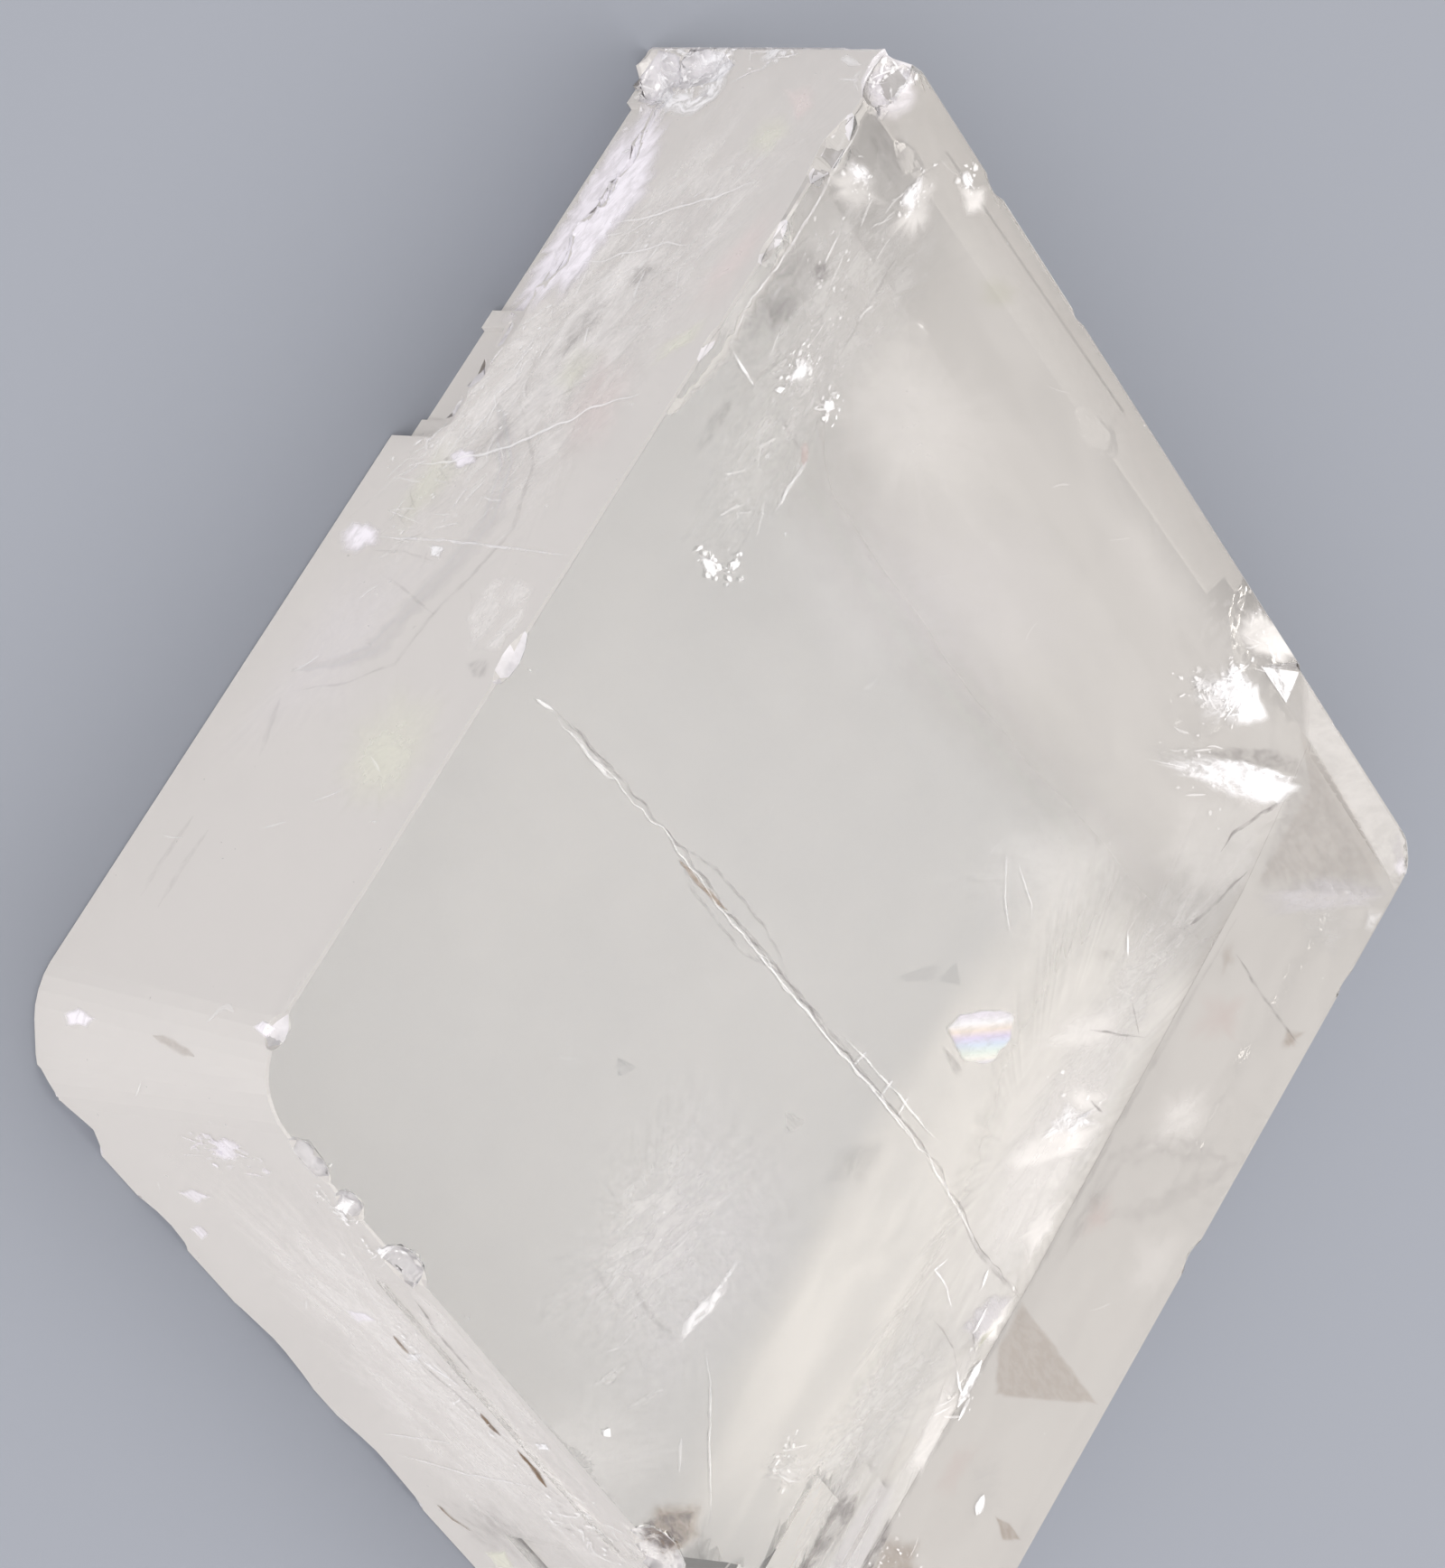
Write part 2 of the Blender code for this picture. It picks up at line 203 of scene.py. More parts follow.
class MaterialNodes:
    """A new material and the nodes that make it."""

    def __init__(self, name: str, roughness: float, specular: float = 0.5) -> None:
        """Starts a material with its Principled shader.

        Args:
            name: The material's name.
            roughness: How rough the shader is.
            specular: How strongly it shines, where 0.5 is usual.
        """
        self.material = bpy.data.materials.new(name)
        self.material.use_nodes = True
        self.tree = self.material.node_tree
        self.shader = self.tree.nodes["Principled BSDF"]
        self.output = self.tree.nodes["Material Output"]
        self.shader.inputs["Roughness"].default_value = roughness
        self.shader.inputs["Specular IOR Level"].default_value = specular

    def paint(self, colour: Colour) -> None:
        """Gives the shader a plain colour."""
        self.shader.inputs["Base Color"].default_value = (*colour, 1)

    def add(self, kind: str, values: dict[str, float | tuple[float, ...]]) -> bpy.types.Node:
        """Adds a node.

        Args:
            kind: The node's type.
            values: What some of its inputs are set to.

        Returns:
            The node.
        """
        node = self.tree.nodes.new(kind)
        for name, value in values.items():
            node.inputs[name].default_value = value
        return node

    def read(self, layer: str) -> bpy.types.Node:
        """Adds a node that reads what is written on the mesh.

        Args:
            layer: The name that it is written under.

        Returns:
            The node.
        """
        node = self.add("ShaderNodeAttribute", {})
        node.attribute_name = layer
        return node

    def calculate(self, operation: str) -> bpy.types.Node:
        """Adds a node that does a sum.

        Args:
            operation: The kind of sum.

        Returns:
            The node.
        """
        node = self.add("ShaderNodeMath", {})
        node.operation = operation
        return node

    def soft_steps(self, start: float, end: float, low: float, high: float) -> bpy.types.Node:
        """Adds a node that turns a range of values into another, with soft ends.

        Args:
            start: Where the range starts.
            end: Where it ends.
            low: What it gives at the start.
            high: What it gives at the end.

        Returns:
            The node.
        """
        node = self.add(
            "ShaderNodeMapRange", {"From Min": start, "From Max": end, "To Min": low, "To Max": high}
        )
        node.interpolation_type = "SMOOTHSTEP"
        return node

    def link(self, start: bpy.types.Node, output: str, end: bpy.types.Node, entry: str | int) -> None:
        """Links a node's output to another node's input."""
        self.tree.links.new(start.outputs[output], end.inputs[entry])


@dataclass(frozen=True)
class ClearCalcite:
    """The crystal's own finish: clear, glossy and very slightly warm."""

    tint: Colour = (0.985, 0.98, 0.97)
    index: float = 1.658
    gloss: float = 0.0
    absorbed: Colour = (0.80, 0.765, 0.70)
    density: float = 8.0

    def make(self) -> bpy.types.Material:
        """Builds the material.

        Returns:
            The material.
        """
        nodes = MaterialNodes("clear_calcite", self.gloss)
        nodes.paint(self.tint)
        nodes.shader.inputs["IOR"].default_value = self.index
        nodes.shader.inputs["Transmission Weight"].default_value = 1
        absorption = nodes.add(
            "ShaderNodeVolumeAbsorption", {"Color": (*self.absorbed, 1), "Density": self.density}
        )
        nodes.link(absorption, "Volume", nodes.output, "Volume")
        return nodes.material


@dataclass(frozen=True)
class FilmFinish:
    """A hair-thin matt film on the crystal: frost where it is broken, or a bloom on its cleaved sides.

    The film is as dense as what is written on each face under strength, times a share between thin and dense
    that changes in soft patches. scale says how small those are, and glow how much light passes through.
    """

    name: str
    colour: Colour
    strength: str
    scale: float
    thin: float
    dense: float
    glow: float = 0.5
    detail: float = 3.0
    sparse_end: float = 0.36
    dense_end: float = 0.66
    roughness: float = 0.9

    def make(self) -> bpy.types.Material:
        """Builds the material.

        Returns:
            The material.
        """
        nodes = MaterialNodes(self.name, self.roughness, 0)
        nodes.paint(self.colour)
        place = nodes.add("ShaderNodeTexCoord", {})
        cloud = nodes.add("ShaderNodeTexNoise", {"Scale": self.scale, "Detail": self.detail})
        patches = nodes.soft_steps(self.sparse_end, self.dense_end, self.thin, self.dense)
        alpha = nodes.calculate("MULTIPLY")
        through = nodes.add("ShaderNodeBsdfTranslucent", {"Color": (*self.colour, 1)})
        matt = nodes.add("ShaderNodeMixShader", {"Fac": self.glow})
        clear = nodes.add("ShaderNodeBsdfTransparent", {})
        film = nodes.add("ShaderNodeMixShader", {})
        nodes.link(place, "Object", cloud, "Vector")
        nodes.link(cloud, "Fac", patches, "Value")
        nodes.link(patches, "Result", alpha, 0)
        nodes.link(nodes.read(self.strength), "Fac", alpha, 1)
        nodes.link(nodes.shader, "BSDF", matt, 1)
        nodes.link(through, "BSDF", matt, 2)
        nodes.link(alpha, "Value", film, "Fac")
        nodes.link(clear, "BSDF", film, 1)
        nodes.link(matt, "Shader", film, 2)
        nodes.link(film, "Shader", nodes.output, "Surface")
        return nodes.material


FROST = FilmFinish(
    "broken_frost", (0.90, 0.88, 0.915), BROKEN, scale=900.0, thin=0.80, dense=1.0, glow=0.35,
)
# One bloom in two painted copies: darker for the left-hand sides, which the fill lamp lights, and lighter for
# the other faces, which get less light
LEFT_BLOOM_PAINTED_DARKER = FilmFinish(
    "left_bloom", (0.825, 0.80, 0.786), BLOOM, scale=60.0, thin=0.96, dense=1.0, glow=0.38,
)
RIGHT_BLOOM_PAINTED_LIGHTER = FilmFinish("right_bloom", (0.94, 0.92, 0.905), BLOOM, scale=60.0, thin=0.85, dense=1.15)


@dataclass(frozen=True)
class ColourBands:
    """Painted thin-film colours in bands across a mark: the colours that a crack with a wedge of air in it
    shows in the light that it reflects.

    count is how many times they run through in a millimetre, and phase is where they start.
    """

    count: float
    phase: float = 0.41
    colours: tuple[Colour, ...] = (
        (0.56, 0.54, 0.60), (0.64, 0.64, 0.66), (0.60, 0.53, 0.48), (0.50, 0.46, 0.60), (0.47, 0.53, 0.62),
        (0.54, 0.60, 0.57), (0.62, 0.61, 0.57),
    )

    def colour_shader(self, nodes: MaterialNodes) -> None:
        """Gives a material's shader the bands' colours.

        Args:
            nodes: The material's nodes.
        """
        parts = nodes.add("ShaderNodeSeparateXYZ", {})
        order = nodes.calculate("MULTIPLY_ADD")
        order.inputs[1].default_value = self.count
        order.inputs[2].default_value = self.phase
        turns = nodes.calculate("FRACT")
        ramp = nodes.add("ShaderNodeValToRGB", {})
        stops = ramp.color_ramp.elements
        for number, colour in enumerate(self.colours):
            stops.new((number + 0.5) / len(self.colours)).color = (*colour, 1)
        for end in (0, len(stops) - 1):
            stops[end].color = (*self.colours[0], 1)
        nodes.link(nodes.read(GRAIN), "Vector", parts, "Vector")
        nodes.link(parts, "Y", order, 0)
        nodes.link(order, "Value", turns, 0)
        nodes.link(turns, "Value", ramp, "Fac")
        nodes.link(ramp, "Color", nodes.shader, "Base Color")


@dataclass(frozen=True)
class MarkFinish:
    """A matt mark on or in the crystal, in streaks or flecks that follow the mark's own grain.

    along and across are how many flecks there are to a millimetre, and bare is how much is left between them.
    least and most are how far the flecks' soft edges reach.
    """

    name: str
    colour: Colour | ColourBands
    strength: float
    along: float = 0.5
    across: float = 1.5
    bare: float = 0.0
    least: float = 0.38
    most: float = 0.6
    detail: float = 6.0
    coarseness: float = 0.62
    twist: float = 0.4
    roughness: float = 0.8

    def make(self) -> bpy.types.Material:
        """Builds the material.

        Returns:
            The material.
        """
        nodes = MaterialNodes(self.name, self.roughness, 0)
        if isinstance(self.colour, ColourBands):
            self.colour.colour_shader(nodes)
        else:
            nodes.paint(self.colour)
        stretch = nodes.add("ShaderNodeMapping", {"Scale": (self.along, self.across, 1)})
        flecks = nodes.add(
            "ShaderNodeTexNoise",
            {"Scale": 1, "Detail": self.detail, "Roughness": self.coarseness, "Distortion": self.twist},
        )
        cut = nodes.soft_steps(self.least, self.most, self.bare * self.strength, self.strength)
        alpha = nodes.calculate("MULTIPLY")
        nodes.link(nodes.read(GRAIN), "Vector", stretch, "Vector")
        nodes.link(stretch, "Vector", flecks, "Vector")
        nodes.link(flecks, "Fac", cut, "Value")
        nodes.link(cut, "Result", alpha, 0)
        nodes.link(nodes.read(FADE), "Fac", alpha, 1)
        nodes.link(alpha, "Value", nodes.shader, "Alpha")
        return nodes.material


class Finish(Enum):
    """The finishes of the marks, from those that lie lowest to those that lie on top."""

    CREAM = MarkFinish(
        "bright_cloud", (0.53, 0.515, 0.50), 0.85, along=0.12, across=0.40, bare=0.78, least=0.34,
        most=0.66, detail=3.0,
    )
    # A flat painted tone over the strips along the top's right-hand edges: it hides the reflections inside
    # the crystal's right-hand sides and stands in for the light seen through the rest of the top
    MILK = MarkFinish(
        "inner_cloud", (0.41, 0.397, 0.387), 0.95, along=0.12, across=0.25, bare=0.93, least=0.36,
        most=0.64, detail=1.0,
    )
    HAZE = MarkFinish(
        "soft_haze", (0.97, 0.945, 0.925), 0.92, along=0.10, across=0.35, bare=0.66, least=0.34, most=0.66,
        detail=4.0,
    )
    VEIL = MarkFinish(
        "milky_veil", (0.56, 0.55, 0.545), 0.90, along=0.5, across=1.4, bare=0.36, least=0.36, most=0.66,
    )
    GLOW = MarkFinish(
        "soft_glow", (0.77, 0.75, 0.74), 0.92, along=0.2, across=0.5, bare=0.72, least=0.36, most=0.64,
    )
    # A whiter copy of the milky veil: on the sides it is painted lighter because they get less light than the
    # top; on the top it marks the brightest cloud cores
    WISP = MarkFinish(
        "white_wisp", (0.97, 0.95, 0.945), 0.90, along=0.3, across=0.7, bare=0.12, least=0.34, most=0.70,
    )
    # The pink and green tinges in two painted copies each: lighter ones for the sides, which get less light,
    # and darker ones for the top, which the lamps light strongly
    ROSE = MarkFinish("rosy_tinge", (0.97, 0.84, 0.84), 0.50, along=0.4, across=0.5, bare=0.6)
    LIME = MarkFinish("lime_tinge", (0.90, 0.91, 0.78), 0.50, along=0.3, across=0.4, bare=0.6)
    BLUSH = MarkFinish("pink_tinge", (0.56, 0.40, 0.38), 0.40, along=0.4, across=0.5, bare=0.6)
    MOSS = MarkFinish("green_tinge", (0.47, 0.48, 0.34), 0.40, along=0.3, across=0.4, bare=0.6)
    SHADOW = MarkFinish(
        "grey_shadow", (0.17, 0.155, 0.16), 0.60, along=0.8, across=1.8, bare=0.20, least=0.36, most=0.64,
    )
    STAIN = MarkFinish("rusty_stain", (0.24, 0.16, 0.10), 0.75, along=1.5, across=3.0, bare=0.65)
    # The lavender tint in two painted copies: the sheen, lighter, mostly for the sides, which get less light,
    # and the pale gleam, darker, for the strongly lit top
    SHEEN = MarkFinish(
        "lavender_sheen", (0.93, 0.90, 0.965), 0.90, along=0.8, across=2.0, bare=0.72, least=0.36,
    )
    GLEAM = MarkFinish(
        "pale_gleam", (0.57, 0.555, 0.585), 0.85, along=0.7, across=1.8, bare=0.60, least=0.36,
    )
    FRINGE = MarkFinish("colour_fringe", ColourBands(0.36), 0.9, along=0.8, across=2.0, bare=0.75)
    RINGS = MarkFinish("colour_ring", ColourBands(1.6), 0.9, along=0.4, across=0.8, bare=0.7)
    SCAR = MarkFinish(
        "white_scar", (0.90, 0.895, 0.92), 0.97, along=0.9, across=2.0, bare=0.30, least=0.36, most=0.58,
    )
    # Painted glints: bright white flakes, patches and strokes that stand in for light caught by small cracks,
    # and also real white flecks, dust and hair-fine scratches
    GLINT = MarkFinish("bright_glint", (0.96, 0.955, 0.97), 1.0, along=0.3, across=0.5, bare=0.85)


class Surface:
    """Finds the crystal's real surface behind a place on one of its flat sides."""

    APPROACH = 3.0 * MM
    DEEPEST = 7.0 * MM
    COVER = 0.05 * MM

    def __init__(self, lattice: Lattice, form: Form) -> None:
        """Gets ready to look surfaces up.

        Args:
            lattice: The crystal's axes.
            form: Its fine shape.
        """
        self.lattice = lattice
        self.tree = BVHTree.FromBMesh(form)

    def settle(self, sheet: Sheet, place: Place, sink: float) -> Vector | None:
        """Lays a point on the surface, or inside it.

        Args:
            sheet: The flat side.
            place: The place along it.
            sink: How deep the point lies below the surface, in millimetres, or less than nothing above it.

        Returns:
            The point, or nothing where the crystal is broken away.
        """
        outward = self.lattice.outward(sheet)
        nominal = self.lattice.on(sheet, place)
        hit, _, _, distance = self.tree.ray_cast(nominal + outward * self.APPROACH, -outward)
        if hit is None or distance - self.APPROACH > self.DEEPEST:
            return None
        if sink <= 0:
            return hit - outward * sink * MM
        return nominal - outward * max(sink * MM, distance - self.APPROACH + self.COVER)


class Canvas:
    """The growing mesh of all the marks of one finish, draped over or into the crystal.

    Each mark lies LIFT millimetres above the last, each finish starts RANK_LIFT above the one before it, and
    SEED_STEP gives each mark flecks of its own.
    """

    LIFT = 0.0006
    RANK_LIFT = 0.004
    SEED_STEP = 7.3

    def __init__(self, surface: Surface, rank: int) -> None:
        """Starts an empty mesh.

        Args:
            surface: Where the crystal's surface is.
            rank: How many finishes lie under this one.
        """
        self.surface = surface
        self.lift = rank * self.RANK_LIFT
        self.form = bmesh.new()
        self.fade = self.form.verts.layers.float.new(FADE)
        self.grain = self.form.verts.layers.float_vector.new(GRAIN)
        self.seed = 0.0

    def begin(self) -> None:
        """Starts a new mark."""
        self.seed += self.SEED_STEP
        self.lift += self.LIFT

    def dot(self, sheet: Sheet, sink: float, place: Place, fade: float, grain: Place) -> Vert | None:
        """Adds one corner of a mark.

        Args:
            sheet: The flat side that it lies on.
            sink: How deep it lies, in millimetres.
            place: Where along the side it lies.
            fade: How strong the mark is there.
            grain: How far along and across its own grain it is.

        Returns:
            The corner, or nothing where the crystal is broken away.
        """
        point = self.surface.settle(sheet, place, sink - self.lift)
        if point is None:
            return None
        vert = self.form.verts.new(point)
        vert[self.fade] = fade
        vert[self.grain] = (*grain, self.seed)
        return vert

    def join(self, *corners: Vert | None) -> None:
        """Joins corners with a face, unless one is missing."""
        if None not in corners:
            self.form.faces.new(corners)

    def weave(self, rows: list[list[Vert | None]], closed: bool) -> None:
        """Joins neighbouring rows of corners with faces.

        Args:
            rows: The rows, all of one length.
            closed: Whether each row runs round in a ring.
        """
        length = len(rows[0])
        for low, high in zip(rows, rows[1:]):
            for here in range(length if closed else length - 1):
                there = (here + 1) % length
                self.join(low[here], low[there], high[there], high[here])


def resample(places: tuple[Place, ...], step: float, closed: bool) -> list[Place]:
    """Puts points at even steps along a line.

    Args:
        places: The line's corners.
        step: The distance between points.
        closed: Whether the line runs back to its start.

    Returns:
        The points.
    """
    corners = [*places, places[0]] if closed else list(places)
    found = []
    for start, end in zip(corners, corners[1:]):
        count = max(1, round(math.dist(start, end) / step))
        for number in range(count):
            share = number / count
            found.append((start[0] + (end[0] - start[0]) * share, start[1] + (end[1] - start[1]) * share))
    return found if closed else [*found, corners[-1]]


# How far apart the waves of two neighbouring seeds lie
SEED_SPREAD = 1.37


def wave(place: Place, waves: float, seed: float) -> float:
    """Gives a smooth random number from about -1 to 1 for a place, with so many waves to a millimetre."""
    return noise.noise(Vector((place[0] * waves, place[1] * waves, seed * SEED_SPREAD)))


@dataclass(frozen=True)
class Stroke:
    """A thin line on a flat side: a crack's edge, a vein or a scratch.

    width, wander and sink are in millimetres: the line's breadth, how far it strays from its places, and how
    deep it lies.
    """

    width: float
    places: tuple[Place, ...]
    strength: float = 1.0
    sheet: Sheet = Sheet.TOP
    wander: float = 0.1
    sink: float = -0.03

    STEP = 0.22
    TIP = 0.15
    TAPER = 4
    BULGE = 0.5
    BULGE_WAVES = 1.5
    WANDER_WAVES = 0.9
    WANDER_SEED = 3
    SECTION = ((-1, 0.0), (-0.45, 1.0), (0.45, 1.0), (1, 0.0))

    def lay(self, canvas: Canvas) -> None:
        """Adds the line to a mesh.

        Args:
            canvas: The mesh.
        """
        canvas.begin()
        points = resample(self.places, self.STEP, False)
        rows = []
        length = 0.0
        for number, point in enumerate(points):
            before = points[max(number - 1, 0)]
            after = points[min(number + 1, len(points) - 1)]
            run = math.dist(before, after)
            across = ((before[1] - after[1]) / run, (after[0] - before[0]) / run)
            share = number / (len(points) - 1)
            taper = min(1.0, self.TAPER * share + self.TIP, self.TAPER * (1 - share) + self.TIP)
            half = self.width / 2 * taper * (1 + self.BULGE * wave(point, self.BULGE_WAVES, canvas.seed))
            shift = self.wander * wave(point, self.WANDER_WAVES, canvas.seed + self.WANDER_SEED)
            row = []
            for side, strength in self.SECTION:
                reach = shift + side * half
                place = (point[0] + across[0] * reach, point[1] + across[1] * reach)
                grain = (length, side * half + self.width / 2)
                row.append(canvas.dot(self.sheet, self.sink, place, strength * self.strength, grain))
            rows.append(row)
            length += run / 2
        canvas.weave(rows, False)


@dataclass(frozen=True)
class Patch:
    """A flat mark with a ragged outline: a crack's face, a veil, a stain or a tinge.

    soft is the share of its reach over which it fades in from its rim, and ragged how uneven the rim is.
    grain is the way that its flecks run in degrees, and sink how deep it lies in millimetres.
    """

    places: tuple[Place, ...]
    strength: float = 1.0
    sheet: Sheet = Sheet.TOP
    soft: float = 0.5
    ragged: float = 0.2
    grain: float = 0.0
    sink: float = -0.03

    LONGEST_STEP = 0.5
    STEPS_ROUND = 24
    RING_GAP = 0.9
    RINGS = (8, 40)
    RING_SPREAD = 0.8
    RIM_WAVES = 1.3

    def middle(self) -> Place:
        """Finds the mark's middle.

        Returns:
            The place.
        """
        count = len(self.places)
        return sum(place[0] for place in self.places) / count, sum(place[1] for place in self.places) / count

    def draw_in(self, canvas: Canvas, middle: Place, place: Place, share: float) -> Place:
        """Draws a place on the outline in towards the middle, or out where the rim is uneven.

        Args:
            canvas: The mesh.
            middle: The middle.
            place: The place.
            share: How far from the middle it ends up, where 1 is on the outline.

        Returns:
            The new place, inside the flat side's rim.
        """
        reach = share * (1 + self.ragged * wave(place, self.RIM_WAVES, canvas.seed) * 2)
        first = middle[0] + (place[0] - middle[0]) * reach
        second = middle[1] + (place[1] - middle[1]) * reach
        return canvas.surface.lattice.within(self.sheet, (first, second))

    def along_grain(self, place: Place) -> Place:
        """Measures how far a place lies along and across the flecks.

        Args:
            place: The place.

        Returns:
            The two distances in millimetres.
        """
        turn = math.radians(self.grain)
        return (
            place[0] * math.cos(turn) + place[1] * math.sin(turn),
            place[1] * math.cos(turn) - place[0] * math.sin(turn),
        )

    def lay(self, canvas: Canvas) -> None:
        """Adds the mark to a mesh.

        Args:
            canvas: The mesh.
        """
        canvas.begin()
        around = sum(math.dist(start, end) for start, end in zip(self.places, self.places[1:]))
        outline = resample(self.places, min(self.LONGEST_STEP, around / self.STEPS_ROUND), True)
        middle = self.middle()
        widest = max(math.dist(middle, place) for place in self.places)
        fewest, most = self.RINGS
        rings = min(most, max(fewest, round(widest / self.RING_GAP)))
        rows = []
        for ring in range(rings + 1):
            share = (1 - ring / rings) ** self.RING_SPREAD
            fade = min(1.0, (1 - share) / self.soft)
            strength = fade * fade * (3 - 2 * fade) * self.strength
            places = [self.draw_in(canvas, middle, place, share) for place in outline]
            rows.append([
                canvas.dot(self.sheet, self.sink, place, strength, self.along_grain(place))
                for place in places
            ])
        canvas.weave(rows, True)


@dataclass(frozen=True)
class Cluster:
    """Many tiny flakes and hairs in one spot, as where the crystal is bruised or dusty.

    reach is how far the spot spreads each way and size how large the flakes are, in millimetres. turn is the
    way that most of them point and stray how far the others stray from it, in degrees. hairs is how many
    curved hairs there are among them.
    """

    centre: Place
    reach: Place
    flakes: int
    sheet: Sheet = Sheet.TOP
    size: float = 0.16
    hairs: int = 0
    turn: float = 80.0
    hair_length: float = 1.6
    stray: float = 40.0
    strength: float = 1.0
    sink: float = -0.03

    FLAKE_SIZES = (0.5, 1.3)
    FLAKE_STRENGTHS = (0.3, 1.0)
    FLAKE_WIDTHS = (0.25, 0.8)
    FLAKE_CORNERS = (4, 6)
    CORNER_SHIFTS = (-0.3, 0.3)
    CORNER_REACHES = (0.55, 1.25)
    RIM_STRENGTH = 0.5
    HAIR_BENDS = (-0.15, 0.15)
    HAIR_JOINTS = 4
    HAIR_STEPS = (0.12, 0.38)
    HAIR_STRENGTHS = (0.2, 0.55)
    HAIR_WIDTHS = (0.07, 0.20)

    def lay(self, canvas: Canvas) -> None:
        """Adds the flakes and hairs to a mesh.

        Args:
            canvas: The mesh.
        """
        canvas.begin()
        source = random.Random(f"{self.sheet.name} {self.centre}")
        for _ in range(self.flakes):
            self.lay_flake(canvas, source)
        for _ in range(self.hairs):
            self.lay_hair(canvas, source)

    def lay_flake(self, canvas: Canvas, source: random.Random) -> None:
        """Adds one tiny many-cornered flake.

        Args:
            canvas: The mesh.
            source: Where its random shape comes from.
        """
        turn = math.radians(self.turn + source.gauss(0, self.stray))
        reach = self.size * source.uniform(*self.FLAKE_SIZES) ** 2
        strength = self.strength * source.uniform(*self.FLAKE_STRENGTHS)
        place = self.stray_place(source)
        slimness = source.uniform(*self.FLAKE_WIDTHS)
        tip = canvas.dot(self.sheet, self.sink, place, strength, place)
        count = source.randint(*self.FLAKE_CORNERS)
        ring = []
        for number in range(count):
            angle = math.tau * (number + source.uniform(*self.CORNER_SHIFTS)) / count
            size = reach * source.uniform(*self.CORNER_REACHES)
            along, across = math.cos(angle) * size, math.sin(angle) * size * slimness
            corner = (
                place[0] + along * math.cos(turn) - across * math.sin(turn),
                place[1] + along * math.sin(turn) + across * math.cos(turn),
            )
            ring.append(canvas.dot(self.sheet, self.sink, corner, strength * self.RIM_STRENGTH, corner))
        for here, there in zip(ring, [*ring[1:], ring[0]]):
            canvas.join(tip, here, there)

    def lay_hair(self, canvas: Canvas, source: random.Random) -> None:
        """Adds one curved hair.

        Args:
            canvas: The mesh.
            source: Where its random shape comes from.
        """
        places = [self.stray_place(source)]
        turn = math.radians(self.turn + source.gauss(0, self.stray))
        bend = source.uniform(*self.HAIR_BENDS)
        for _ in range(self.HAIR_JOINTS):
            step = self.hair_length * source.uniform(*self.HAIR_STEPS)
            first, second = places[-1]
            places.append((first + math.cos(turn) * step, second + math.sin(turn) * step))
            turn += bend
        strength = self.strength * source.uniform(*self.HAIR_STRENGTHS)
        width = source.uniform(*self.HAIR_WIDTHS)
        Stroke(width, tuple(places), strength, self.sheet, sink=self.sink).lay(canvas)

    def stray_place(self, source: random.Random) -> Place:
        """Picks a place in the spot, most often near its middle.

        Args:
            source: Where the random numbers come from.

        Returns:
            The place.
        """
        first = self.centre[0] + source.gauss(0, self.reach[0] / 2)
        second = self.centre[1] + source.gauss(0, self.reach[1] / 2)
        return first, second


Mark = Stroke | Patch | Cluster
Marks = dict[Finish, tuple[Mark, ...]]

